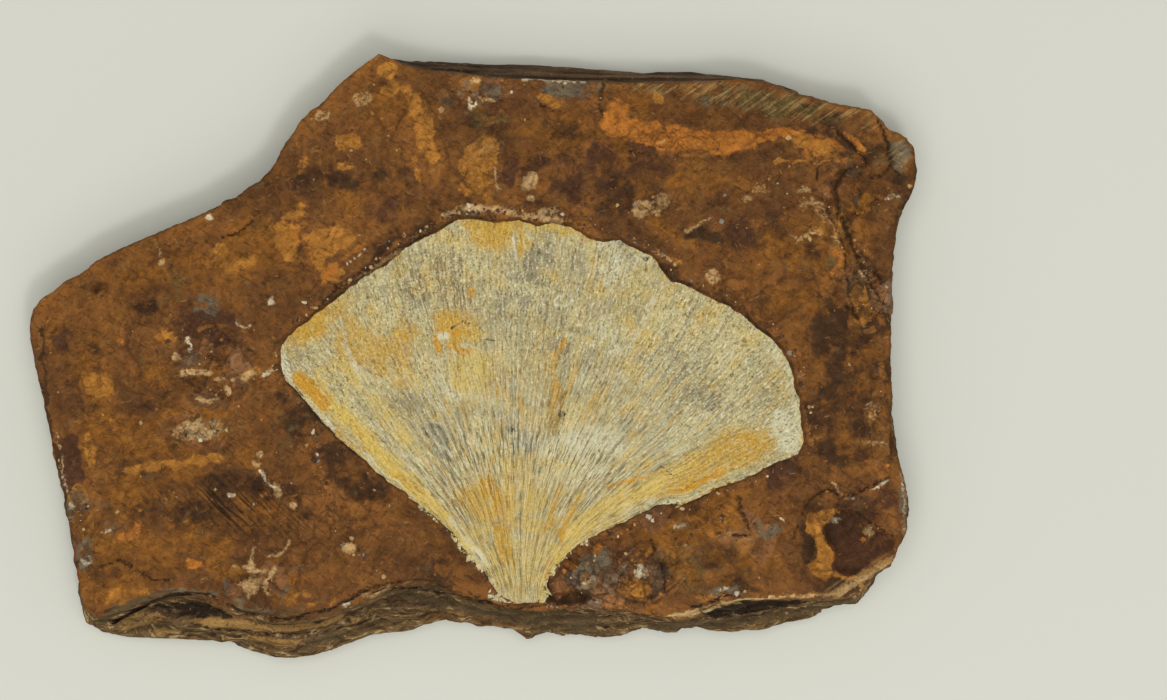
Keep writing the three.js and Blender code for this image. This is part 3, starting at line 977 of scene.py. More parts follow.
# Cracks and grooves: dark, and cut into the face; the first patch, a hollow by a raised block, is painted
# shade.
CRACKS = marks("""
    patch 9.2,-27.2 9.7,-28 9.5,-29.5 10.6,-30.5 12.6,-29.3 14.7,-29.3 15.2,-30.4 13.6,-31.3 11.4,-31.4
    9.1,-31 8.5,-29.2 | 1 -.35 .5; line 44.4,18.5 46.6,14.3 47.4,6.8 48.4,4.4 | .15 .1 .9 -.25;
    line 52.1,26.7 52.1,24.9 52.8,23.8 54,22.9 | .16 .11 .9 -.25;
    line 48.4,-19.4 49.6,-20.7 52.8,-22.5 | .15 .11 .95 -.2;
    line -19.7,6.2 -17.9,8 -14.1,10.8 -11.9,12 | .18 .15 .9 -.25;
    line -11.9,12 -9.3,13.8 -4.3,16.6 | .16 .11 .75 -.2;
    line -31.8,15.1 -29.8,15.6 -28.2,16.8 -27.1,18.5 | .16 .1 .85 -.18;
    line -47,-26.3 -44.4,-25.7 -40.5,-28.1 -38.1,-28.1 | .18 .11 .85 -.25;
    line 8.4,31.8 11.1,30.9 | .19 .11 .8 -.2; line 16.3,34.5 15.9,32.5 16.1,30.3 | .23 .15 .8 -.25;
    line 19.4,26 21.6,25.3 23.5,25.1 | .14 .09 .7 -.15; line 45.9,28.5 49.7,24.6 | .3 .25 .7 -.35;
    line 49.7,24.6 47.7,23.9 46.4,22.9 45.4,21.1 | .25 .3 .55 -.4;
    line 45.4,21.1 45.9,18.3 48.7,12 51.2,10.1 | .38 .3 .6 -.5;
    line 50.9,29.9 51.7,28.4 52.7,24.3 | .23 .2 .9 -.35; line 52.7,24.3 51.4,22.9 49.7,22.4 | .2 .13 .7 -.25;
    line 43.3,22.4 43.1,23.9 44.1,24.5 45.1,24.6 | .14 .11 .75 -.2; line 46.9,6.5 48.7,4.5 | .23 .15 .8 -.35;
    line 48.9,11.3 50.1,9.1 52.5,6.2 | .18 .13 .7 -.3;
    line 42.4,-18 44.5,-16.6 46.5,-17.6 48.4,-17.2 52.2,-15.2 | .2 .14 .95 -.4;
    line 41.9,-18.4 40.2,-23 | .2 .13 .6 -.25; line 45.9,-18.6 48.2,-19.5 52.8,-22.8 | .15 .11 .7 -.2;
    line 30.8,-22.1 32.3,-22.5 34.8,-22.3 | .2 .14 .85 -.3; line 33.3,-17.6 34.7,-21.8 | .15 .13 .7 -.2;
    line 22.4,-23 23,-25 24,-27.1 24.1,-29.3 | .18 .13 .85 -.3;
    line 12,-23.7 10.3,-25.5 9,-27.8 | .38 .25 .8 -.3; line 11.5,-25.2 13.1,-26.2 13.4,-29.3 | .18 .15 .8 -.3;
    line 17.4,-25.5 19.2,-24.5 21.6,-24.5 | .13 .1 .6 -.2;
    line 16.3,-30.6 18.7,-31.3 21.6,-30.6 | .13 .1 .6 -.2;
    line -47.4,-32.4 -39.2,-30.3 -35.8,-29.8 | .25 .28 .8 -.2;
    line -16.3,-30.8 -13.6,-29.1 -10,-28.3 -6.2,-28.1 -2.8,-29.2 | .23 .18 .85 -.35;
    line -2.4,-29.6 3.9,-31.3 | .2 .15 .6 -.3
""")
# Broken edges: the rock stands higher on the left of each route.
LEDGES = marks("""
    line 43.9,-19 42.6,-19.7 43,-22 42.5,-25.5 43.6,-27.4 48.3,-28.1 | .13 .13 0 0 .5 2.5;
    line 51.2,10.1 48.2,12.9 45.9,20.5 | .13 .13 0 0 .5 3;
    line 34.8,-22.3 33.5,-19.5 32.9,-17.2 | .13 .13 0 0 .25 3;
    line 24,-29.3 23.5,-26.2 22.2,-22.8 | .13 .13 0 0 .3 3;
    line 16.6,29.9 20.9,25.9 28.5,25.1 36.1,26.2 41.1,27.7 | .13 .13 0 0 .25 4;
    line 28.5,14.2 23.5,16.7 15.9,19.2 9,21.1 | .13 .13 0 0 .15 4;
    line -40.5,-28.1 -44.6,-25.7 -47.4,-26.3 | .13 .13 0 0 .2 2.5;
    line -32.7,-30.3 -39.2,-30.3 -44,-31.3 -47.4,-32.6 | .13 .13 0 0 .25;
    line 39.2,4.5 33.5,5.7 28.5,8.5 23.5,12 | .13 .13 0 0 .25 2.5;
    line 52.2,-15.2 48.4,-17.2 44.5,-16.6 42.4,-18 | .13 .13 0 0 .3 3;
    line 49.7,14.8 47.4,7.2 46.9,3.5 | .13 .13 0 0 .2 2.5
""")
# The near left dip with parallel scratches, and the fine grain of the far right facet.
SCRATCHED = marks("""
    -30.5,-18.6 5.5 3 -10; -23.2,-20.5 3.8 2.5 -40 .5
""")
STRIATED = marks("""
    line 20.9,34.5 36.1,32.5 43,30.9 | 1.1 1.6; line 41.1,31.4 46.8,30.9 50.2,29.7 | 1.3 1 .9;
    .5,25.5 2.5 1.6 40 .6; line -13.7,-30.2 -10.6,-29.3 -5.5,-29.1 | .8 .63 .7;
    line 45.6,-30.1 53.1,-25.5 | 1 1 .9; 53.5,25.6 1.4 2.1 5 .8
""")
# Plates that stand up from the face or lie below it.
PLATES = marks("""
    patch 47.2,17.9 48.6,18.1 51,20.1 54.3,21.1 54.1,19.3 53.4,17.3 53,14.9 52.9,10.6 50.5,11.3 48.4,13.3
    47.6,15.1 | 1 .4 .5; patch 45.5,-19.2 47.1,-19 48.4,-19.4 49.6,-20.7 52.3,-22.3 53.9,-22.6 53.1,-24.2
    51.6,-24.9 48.5,-27.7 46.5,-27.5 45.3,-26.8 45.3,-24.2 44.2,-23.4 43.9,-22.3 44.2,-21.1 | 1 -.45 .8;
    patch 9.8,-27.6 11.4,-25.7 13.2,-25.1 12.6,-29.2 11.4,-30.3 10,-30.1 9.6,-29 | 1 .35;
    patch 20.4,-28.2 21.6,-28.6 22,-29.4 21,-29.8 20,-29.6 | 1 .2 .3;
    patch 52.1,26.7 52.8,28.2 54.2,28.2 55.2,27.2 55.7,25.1 55.5,22.9 54,22.6 52.8,23.8 | 1 .5 1; patch
    45.2,18.9 47.2,17.9 47.4,15.9 48.2,13.5 50.9,10 51.4,6.8 50.4,7.4 47.1,10.9 46.2,15.7 45.2,17.7 | 1 -.35
    .5
""")
PITS = marks("""
    -47.4,9 1.1 .6 20 1 -.35; -41.1,6.2 1.4 .9 -5 1 -.25; -27,-16 1.1 .9 0 1 -.35; 18.2,-23.1 .44 .44 0 1 -.4;
    -10.6,34 .38 .38 0 1 -.2; 42.1,31.4 1.3 .8 10 1 -.3
""")
# The layers of the near flank.
# Dark lines and bands of the flank's layers: cracks, and painted shadow under the ledges.
LAYER_CRACKS_AND_SHADOWS = marks("""
    line -46,-33.8 -40.4,-30.7 -38,-30.1 -33.4,-29.9 -30.3,-31.7 -26.4,-33 -24,-33.2 -18.2,-31.8 -13.1,-29.3 |
    .23 .16 1 -.5;
    patch -42.7,-32.5 -40.4,-31.4 -37.6,-31.1 -33.4,-31.1 -31,-32.1 -32.9,-33 -35.7,-33.4 -39.9,-31.9 | .75;
    line -35.7,-33.7 -33.6,-34.6 -25.2,-35.2 -21.7,-35.1 -18.2,-34.6 -12.9,-33.2 | .14 .1 .9 -.35;
    line -38.6,-34.1 -37.1,-35.1 -34.6,-36 -31.8,-35.9 | .11 .08 .8 -.2;
    line -12.9,-29.6 -9.3,-29.1 -5.5,-29.5 4.3,-31.5 8.3,-31.6 10.8,-31.2 | .16 .13 .9 -.3;
    line 27.4,-31.5 32.1,-30 33.9,-30 | .16 .13 .9 -.25;
    patch 28.5,-32.1 33.8,-30.8 41.1,-30.6 42.5,-31.1 38.6,-32.1 33.8,-32.9 30.4,-33.2 | .8;
    line 10.8,-34 15.9,-34.6 20.9,-34.1 | .11 .09 .7 -.2
""")
LAYER_LEDGES = marks("""
    patch -35.9,-33.2 -33.4,-33.1 -29.9,-33.2 -26.4,-33.9 -23,-34 -19.4,-33.6 -17,-32.7 -16.1,-33.2
    -19.4,-34.3 -23,-34.9 -26.4,-34.8 -33.4,-34.4 -35.2,-33.9 | .95 .3 .6;
    patch -45.7,-34 -43.6,-32.8 -40.4,-32.3 -39,-33.5 -45,-35.1 | .6 .2 .6;
    patch -31,-35.4 -26.7,-35.6 -22.3,-36 -23,-37.1 -26,-36.8 | .8 .2 .6;
    line 48.3,-27.8 51.3,-26 52.8,-25.5 | .35 .28 .9 .1; line 48.7,-28.7 49.7,-29.3 48.9,-30.3 | .38 .25 .8
""")
LAYER_GREYS = marks("""
    line -47.7,-33.5 -42.7,-30.8 -39.9,-29.9 -37.6,-29.5 | .45 .2;
    line -29.2,-31.8 -25,-32.5 -21.3,-31.5 | .3 .25 .8;
    patch -21.7,-35.6 -19.4,-34.9 -16.3,-34.6 -17,-36.3 -19.4,-37.1 -21.9,-37.3 | .85; patch 20.9,-34.9
    23.5,-33.7 31,-33.4 36.1,-32.9 44.9,-31.3 47.7,-30.3 48.7,-31 43.6,-32.4 36.1,-33.9 28.5,-35 | .95; patch
    -12.9,-29.8 -9.3,-29.6 -4.3,-30.5 .8,-31.2 8.3,-32.1 15.5,-32.2 15.5,-35.1 8.3,-34.9 -4.3,-31.7 -9.3,-30.8
    | .75
""")
LAYER_PALES = marks("""
    line 24.4,-33.1 31.5,-31.3 | .15 .24 1 .2; line 31.5,-31.3 33.9,-30.6 39.6,-30.2 | .21 .09 1 .2;
    line 9,-32.6 10.8,-32 12.7,-32.4 14.6,-31.6 15.5,-32.1 | .08 .06 .8 .15;
    line 14,-34.7 15.9,-34.5 17.4,-34.9 | .1 .08 .8 .1
""")
# Each stain's marks, how far their edges wander and how soft they are.
ROCK_STAINS = {
    Stain.RUST: (RUST_GLOWS, 0.9, 6.0),
    Stain.OCHRE: (OCHRE_PATCHES, 0.4, 0.9),
    Stain.ORANGE: (ORANGE_BANDS, 0.4, 0.9),
    Stain.CREAM: (CREAM_FLAKES, 0.32, 0.4),
    Stain.UMBER: (DARK_ZONES, 0.9, 2.0),
    Stain.PURPLE: (PURPLE_ZONES, 0.9, 2.4),
    Stain.GREY: (GREY_ZONES, 0.4, 1.0),
    Stain.OLIVE: (OLIVE_ZONES, 0.9, 2.4),
    Stain.CRACK: (CRACKS, 0.2, 0.35),
    Stain.WHITE: (WHITE_CRUMBS_AND_GLINT, 0.32, 0.35),
    Stain.STRIATED: (STRIATED, 0.4, 1.6),
    Stain.SCRATCHED: (SCRATCHED, 0.4, 3.0),
}
# Where the rock is broken into blocks.
RUBBLE = marks("""
    17.8,-28.1 8.3 4.3 10; 49.7,7.9 2.8 3.8 0 .8; 46.2,19.2 3 5.8 0 .5; -32.7,-1 5.5 5.5 0 .5;
    -27.6,-28.7 3.3 2.5 0 .5; .8,33.5 5 2 0 .4; -49.9,-21.8 2 6.3 0 .4; -34.6,-9.2 4.3 2 0 .5;
    28.5,-23 8.8 5 0 .3; 51.8,-7.9 1.8 7.6 0 .4
""")
# Where small crumbs stick to the face: strength is how thickly they lie.
CRUMB_FIELDS = marks("""
    -34.6,.9 4.3 4.5 0 .5; -30.1,-3.5 4.3 2.3 10 .9; -34.6,-8.9 4.5 2.1 5 .9; -25.5,-15.5 2.5 3.3 -20 .6;
    -27,-28.1 2.5 2.5 0 .8; -49.9,-20.5 1.8 6.3 5 .9; .8,33.7 4.5 1.8 0 .9; -.5,18.5 2.8 .8 15 1.6;
    7.1,18.3 4.3 .9 0 1.2; 20.9,19.2 3.3 1.6 0 .7; 36.1,19.2 6.3 3.8 0 .25; 43,18 2.5 4.3 0 .5;
    49.7,7.2 2.8 3.8 0 .8; 50.9,-6.6 1.8 5.5 0 .6; 17.4,-26.8 6.3 3.8 10 .9; 31,-29.6 4.3 1.1 5 .9;
    27.2,-21.1 6.3 2 0 .3; 36.1,-19.9 3.8 2.5 0 .3; 47.4,-18 5 2 0 .4; -16.3,29.9 6.3 6.3 0 .15;
    -18.2,-25.5 10.1 3.8 0 .15; 15.9,-31.9 8.8 .8 0 .8
""")


# ---- The slab of rock ----


class SlabForm:
    """The slab's shape as the frame gives it: its face, its flank's profile and its leaf bed."""

    ANGLES = 720
    STATIONS = 49
    RIM_FALL = 0.6
    BLUR_REACH = 9
    BLUR_SPREAD = 3.5

    def __init__(self, node: Piece) -> None:
        """Reads the frame's slab and tabulates the height of its face.

        Args:
            node: the frame's slab.
        """
        frame = FrameRings(node)
        self.hub = frame.hub
        self.floor = float(frame.rings[0][:, 2].mean())
        lowest = self.floor - self.RIM_FALL
        rim = max(index for index, ring in enumerate(frame.rings) if ring[:, 2].mean() > lowest)
        face = [StarRing(ring, self.hub) for ring in frame.rings[1 : rim + 1]]
        self.flank = [StarRing(ring, self.hub) for ring in frame.rings[rim:]]
        self.bed, self.rim = face[0], face[-1]
        self.table = self._face_table(face)

    def _face_table(self, face: list[StarRing]) -> Array:
        """Tabulates the face's height over directions and shares of the way from bed to rim.

        Args:
            face: the face's rings, from bed to rim.

        Returns:
            The heights, directions by stations, softened a little from one direction to the next.
        """
        angles = np.linspace(-math.pi, math.pi, self.ANGLES, endpoint=False)
        reach = np.stack([ring.reach(angles) for ring in face])
        height = np.stack([ring.at(angles)[:, 2] for ring in face])
        share = (reach - reach[0]) / (reach[-1] - reach[0])
        wanted = np.linspace(0, 1, self.STATIONS)
        table = np.stack([np.interp(wanted, share[:, i], height[:, i]) for i in range(self.ANGLES)])
        window = np.arange(-self.BLUR_REACH, self.BLUR_REACH + 1)
        near = np.exp(-0.5 * (window / self.BLUR_SPREAD) ** 2)
        wave = np.fft.fft(table, axis=0)
        kernel = np.zeros(self.ANGLES)
        kernel[window] = near / near.sum()
        return np.real(np.fft.ifft(wave * np.fft.fft(kernel)[:, None], axis=0))

    def directions(self, points: Array) -> Array:
        """Gives the direction of each point from the hub."""
        return np.arctan2(points[:, 1] - self.hub[1], points[:, 0] - self.hub[0])

    def between(self, plan: Array, rim: Array, bed: Array, gaps: Place) -> Array:
        """Keeps the points that lie between two loops.

        Args:
            plan: N points.
            rim: the outer loop.
            bed: the inner loop, which may be empty.
            gaps: the least distance from each.

        Returns:
            The points that are kept.
        """
        angles = self.directions(plan)
        distance = np.linalg.norm(plan - self.hub, axis=1)
        keep = distance < StarRing(rim, self.hub).reach(angles) - gaps[0]
        if len(bed):
            keep &= distance > StarRing(bed, self.hub).reach(angles) + gaps[1]
        return plan[keep]

    def height(self, points: Array) -> Array:
        """Gives the frame's height of the face.

        Args:
            points: N points in plan.

        Returns:
            N heights.
        """
        angles = self.directions(points)
        distance = np.linalg.norm(points[:, :2] - self.hub, axis=1)
        bed, rim = self.bed.reach(angles), self.rim.reach(angles)
        station = np.clip((distance - bed) / (rim - bed), 0, 1) * (self.STATIONS - 1)
        column = (angles + math.pi) / (2 * math.pi) * self.ANGLES
        low_column, low_station = np.floor(column).astype(int), np.floor(station).astype(int)
        low_station = np.minimum(low_station, self.STATIONS - 2)
        part_column, part_station = column - low_column, station - low_station
        total = np.zeros(len(points))
        for step_column in (0, 1):
            for step_station in (0, 1):
                weight_column = part_column if step_column else 1 - part_column
                weight_station = part_station if step_station else 1 - part_station
                held = self.table[(low_column + step_column) % self.ANGLES, low_station + step_station]
                total += weight_column * weight_station * held
        return total


@dataclass
class MatrixSlab:
    """The slab: a face with fine relief round the leaf's bed, a layered flank and a rough underside."""

    form: SlabForm
    columns: int = 1000
    flank_rows: tuple[int, ...] = (4, 5, 4, 4, 4, 4, 6)
    grid: float = 0.3
    under_grid: float = 1.2
    bed_points: int = 760
    bed_inset: float = 0.28
    foot_share: float = 0.985
    rim_wander: float = 0.28
    flank_wander: float = 0.3
    strata_depth: float = 0.42
    bump_height: float = 0.075
    flake_height: float = 0.1
    swell_height: float = 0.14
    step_height: float = 0.12
    step_edge: float = 0.16
    block_height: float = 0.22
    chip_height: float = 0.1
    gap_depth: float = 0.2
    scratch_height: float = 0.08
    scratch_gap: float = 0.78
    hollow_depth: float = 0.35
    drop_height: float = 0.35
    seed: int = 7
    ripple: Ripple = field(init=False)
    cells: Cells = field(init=False)

    def __post_init__(self) -> None:
        """Seeds the slab's noise."""
        self.ripple = Ripple(self.seed)
        self.cells = Cells(self.seed + 1)

    # ---- Relief of the face ----

    def fine_relief(self, points: Array) -> Array:
        """Gives the small bumps and flakes of the face, about a tenth of a millimetre high."""
        bumps = self.bump_height * self.ripple.fractal(points + 40, 1.7, 4, 0.62)
        return bumps + self.flake_height * self.ripple.ridged(points + 80, 2.8, 4)

    def relief(self, plan: Array) -> Array:
        """Gives the height that is added to the frame's face.

        Args:
            plan: N points in plan.

        Returns:
            N heights.
        """
        moved = plan + 0.35 * self.ripple.wander(plan, 3.0, 3, (0, 31))
        swell = self.swell_height * self.ripple.fractal(plan + 5, 9.0, 3)
        bedding = self.ripple.fractal(plan + 63, 14.0, 5, 0.55) * 5.0
        below = np.floor(bedding)
        steps = self.step_height * (below + smooth(0.0, self.step_edge, bedding - below) - bedding)
        rubble = covered(RUBBLE, plan, 3.0)
        blocks, gap = self.cells.at(moved, 2.4)
        chips, chip_gap = self.cells.at(moved + 9, 1.1)
        gaps = self.gap_depth * smooth(0.22, 0.0, gap)
        broken = self.block_height * blocks + self.chip_height * chips - gaps
        broken = rubble * broken - rubble * 0.07 * smooth(0.12, 0.0, chip_gap)
        scratches = covered(SCRATCHED, plan, 4.0) * self.scratch_height * np.sin(self.scratch_phase(plan))
        near_ledge = risen(LEDGES, moved) + risen(PLATES, moved)
        stones = risen(CREAM_FLAKES, moved) + risen(WHITE_CRUMBS_AND_GLINT, moved)
        cuts = risen(CRACKS, moved) + risen(PITS, moved)
        return swell + steps + broken + scratches + near_ledge + stones + cuts + self.fine_relief(plan)

    def scratch_phase(self, plan: Array) -> Array:
        """Gives the phase of the parallel scratches of the near left dip."""
        across = (plan[:, 0] + plan[:, 1]) / math.sqrt(2)
        return 2 * math.pi * (across + 0.25 * self.ripple.fractal(plan, 5.0, 2)) / self.scratch_gap

    # ---- Points ----

    def column_angles(self) -> Array:
        """Spreads the flank's columns evenly along the rim.

        Returns:
            Their directions from the hub, in order.
        """
        corners = np.concatenate([self.form.rim.points, self.form.rim.points[:1]])
        lengths = np.linalg.norm(np.diff(corners[:, :2], axis=0), axis=1)
        along = np.concatenate([[0], np.cumsum(lengths)])
        wanted = np.linspace(0, along[-1], self.columns, endpoint=False)
        places = np.stack([np.interp(wanted, along, corners[:, axis]) for axis in (0, 1)], axis=1)
        return np.sort(self.form.directions(places))

    def flank_points(self, angles: Array) -> Array:
        """Gives the flank's rows of points, from the rim to the underside.

        Args:
            angles: the directions of its columns.

        Returns:
            Rows by columns by three coordinates.
        """
        profile = [ring.at(angles) for ring in self.form.flank]
        rows = [profile[0]]
        for upper, lower, count in zip(profile, profile[1:], self.flank_rows):
            rows += [upper + (lower - upper) * (step + 1) / count for step in range(count)]
        return np.stack(rows)

    def roughen_flank(self, rows: Array, angles: Array) -> Array:
        """Pushes the flank's points in and out along its layers.

        Args:
            rows: the flank's rows of points.
            angles: the directions of its columns.

        Returns:
            The rough rows.
        """
        flat = rows.reshape(-1, 3)
        bend = flat + (0, 0, 1) * (0.9 * self.ripple.fractal(flat[:, :2], 9.0, 3))[:, None]
        layers = np.tanh(4.0 * self.ripple.fractal(bend * (0.2, 0.2, 1.5) + 11, 2.4, 4, 0.6))
        broken = self.ripple.fractal(flat, 4.2, 4, 0.55)
        chips = self.ripple.ridged(flat + 50, 1.6, 2)
        push = self.flank_wander * broken + self.strata_depth * layers - 0.12 * chips
        push = push.reshape(rows.shape[:2])
        rim_push = self.rim_wander * self.ripple.fractal(rows[0] + 3, 3.4, 4, 0.6)
        depth = np.arange(len(rows)) / (len(rows) - 1)
        hold = smooth(0.0, 0.12, depth)[:, None] * smooth(1.02, 0.9, depth)[:, None]
        push = push * hold + rim_push * (1 - smooth(0.0, 0.2, depth)[:, None])
        degrees = np.degrees(angles)
        push *= 1 - 0.75 * smooth(50.0, 60.0, degrees) * smooth(124.0, 112.0, degrees)
        drop = self.drop_height * self.ripple.fractal(flat[:, :2] + 21, 5.0, 3)
        drop += risen((*LAYER_CRACKS_AND_SHADOWS, *LAYER_LEDGES, *LAYER_PALES), flat)
        drop = drop.reshape(rows.shape[:2])
        rough = rows.copy()
        rough[..., 0] += push * np.cos(angles)
        rough[..., 1] += push * np.sin(angles)
        rough[..., 2] += drop * hold
        rough[..., 2] = np.clip(rough[..., 2], 0.0, None)
        rough[-1, :, 2] = 0.0
        return rough

    def bed_loop(self) -> Array:
        """Draws the edge of the rock round the leaf, just outside the leaf's own edge.

        Returns:
            The loop's points, with three coordinates.
        """
        angles = np.linspace(-math.pi, math.pi, self.bed_points, endpoint=False)
        loop = self.form.bed.at(angles)
        wander = 0.16 * self.ripple.fractal(loop + 70, 1.4, 3, 0.6)
        reach = np.linalg.norm(loop[:, :2] - self.form.hub, axis=1) - self.bed_inset + wander
        loop[:, 0] = self.form.hub[0] + reach * np.cos(angles)
        loop[:, 1] = self.form.hub[1] + reach * np.sin(angles)
        return loop

    def face_grid(self, rim: Array, bed: Array, step: float) -> Array:
        """Scatters points evenly between two loops.

        Args:
            rim: the outer loop.
            bed: the inner loop, which may be empty.
            step: the points' spacing.

        Returns:
            N points in plan.
        """
        draw = np.random.default_rng(self.seed + 5)
        low, high = rim[:, :2].min(axis=0), rim[:, :2].max(axis=0)
        east, north = np.meshgrid(np.arange(low[0], high[0], step), np.arange(low[1], high[1], step))
        plan = np.stack([east.ravel(), north.ravel()], axis=1)
        plan += draw.uniform(-0.27, 0.27, plan.shape) * step
        return self.form.between(plan, rim, bed, (0.8 * step, 0.6 * step))

    def build(self) -> Piece:
        """Makes the slab's mesh and its stains.

        Returns:
            The slab.
        """
        angles = self.column_angles()
        flank = self.roughen_flank(self.flank_points(angles), angles)
        bed = self.bed_loop()
        inner = self.face_grid(flank[0], bed, self.grid)
        plan = np.concatenate([flank[0][:, :2], bed[:, :2], inner])
        face = np.column_stack([plan, self.form.height(plan) + self.relief(plan)])
        lift = face[: self.columns, 2] - flank[0][:, 2]
        fade = np.clip(1 - np.arange(len(flank)) / sum(self.flank_rows[:2]), 0, 1)
        flank[..., 2] += fade[:, None] * lift
        edge = self.columns + np.arange(self.bed_points)
        under = self.underside(flank[-1])
        foot, floor = self.bed_wall(face[edge])
        parts = [face, flank[1:].reshape(-1, 3), under, foot, floor]
        starts = np.cumsum([len(part) for part in parts])
        faces = [triangles_between([face[: self.columns], face[edge]], inner)]
        row = np.arange(self.columns)
        for index in range(len(flank) - 1):
            next_row = starts[0] + index * self.columns + np.arange(self.columns)
            faces.append(strip(row, next_row))
            row = next_row
        faces.append(self._filled(flank[-1], row, under, starts[1])[:, ::-1])
        foot_row = starts[2] + np.arange(self.bed_points)
        faces.append(strip(foot_row, edge))
        faces.append(self._filled(foot, foot_row, floor, starts[3]))
        points, triangles = np.concatenate(parts), np.concatenate(faces)
        piece = made_piece("rock_slab", points, triangles.tolist())
        self.stain(piece, points, len(face), triangles)
        return piece

    @staticmethod
    def _filled(loop: Array, row: Array, inner: Array, start: int) -> Array:
        """Fills a loop, whose points have the row's numbers, round inner points numbered from start."""
        return np.concatenate([row, start + np.arange(len(inner))])[triangles_between([loop], inner)]

    def underside(self, ring: Array) -> Array:
        """Scatters the points of the underside, whose broken hollows rise a little from the table.

        Args:
            ring: the flank's lowest row.

        Returns:
            The points, with three coordinates.
        """
        plan = self.face_grid(ring, np.empty((0, 3)), self.under_grid)
        hollows = np.clip(self.ripple.fractal(plan + 90, 12.0, 4), 0, None)
        return np.column_stack([plan, self.hollow_depth * hollows])

    def bed_wall(self, edge: Array) -> tuple[Array, Array]:
        """Gives the points of the bed's wall and floor.

        Args:
            edge: the bed's upper edge.

        Returns:
            The wall's foot, and the floor's inner points.
        """
        away = edge[:, :2] - self.form.hub
        foot = np.column_stack([self.form.hub + away * self.foot_share, np.full(len(edge), self.form.floor)])
        plan = self.form.hub + np.concatenate([away[::8] * share for share in (0.85, 0.6, 0.3)])
        floor = np.column_stack([plan, np.full(len(plan), self.form.floor)])
        return foot, floor

    # ---- Stains, with painted shade and light ----

    def stain(self, piece: Piece, points: Array, face_count: int, faces: Array) -> None:
        """Works out what colours each point, with its painted shade and light, and stores it on the piece.

        Args:
            piece: the slab.
            points: its points.
            face_count: how many of them belong to the face.
            faces: its triangles.
        """
        plan = points[:, :2]
        wander = self.ripple.wander(points, 2.2, 4, (12, 24))
        flank = smooth(0.4, 1.6, self.form.height(plan) - points[:, 2] - 0.2)
        flank[:face_count] = 0.0
        on_face = 1.0 - flank
        stains = [ROCK_STAINS[stain] for stain in Stain]
        covers = [covered(group, plan + share * wander, edge) * on_face for group, share, edge in stains]
        for index, name in enumerate(("stains_warm", "stains_dull", "stains_fine")):
            write_channels(piece, name, covers[4 * index : 4 * index + 4])
        angles = self.form.directions(plan)
        reach = np.linalg.norm(plan - self.form.hub, axis=1)
        under = smooth(-0.8, -2.5, reach - self.form.flank[-1].reach(angles)) * smooth(1.5, 0.8, points[:, 2])
        # How far each point stands out from its near and its wider surroundings, for painted shade and light:
        # darker in hollows, lighter on crests and rises.
        crest_shade = np.clip(0.5 + 9.0 * bulge(points, faces, 3), 0, 1)
        swell = np.clip(0.5 + 4.0 * bulge(points, faces, 18), 0, 1)
        rubble = covered(RUBBLE, plan, 3.0) * on_face
        write_channels(piece, "form", [flank * (1 - 0.75 * under), crest_shade, swell, rubble])
        groups = (LAYER_CRACKS_AND_SHADOWS, LAYER_LEDGES, LAYER_GREYS, LAYER_PALES)
        write_channels(piece, "strata", [covered(group, plan + 0.25 * wander, 0.4) for group in groups])
        distance = (reach - self.form.bed.reach(angles))[:face_count]
        # Painted shadow on the rock along the leaf's edge, where the rock's step shades it: strongest on the
        # far left, weakest on the near left.
        breadth = 0.15 + 0.95 * self.ripple.fractal(plan[:face_count] + 33, 3.0, 5, 0.65)
        margin, leaf_edge_shadow = np.zeros(len(points)), np.zeros(len(points))
        # 1 at the leaf's edge, fading over 1.6 mm: the finish paints shade with it on the rock next to the
        # leaf.
        margin[:face_count] = smooth(1.6, 0.0, distance)
        leaf_edge_shadow[:face_count] = smooth(0.25, -0.15, distance - breadth)
        angles = np.degrees(angles)
        leaf_edge_shadow *= np.where((angles < -95) & (angles > -178), 0.2, np.where(angles < 100, 0.5, 0.9))
        # The far wall: partly its own darker rock, partly painted shade, as it faces away from the light.
        far_wall_shade = smooth(50.0, 62.0, angles) * smooth(124.0, 112.0, angles) * (1 - under)
        write_channels(piece, "sides", [far_wall_shade, margin, leaf_edge_shadow, np.ones(len(points))])


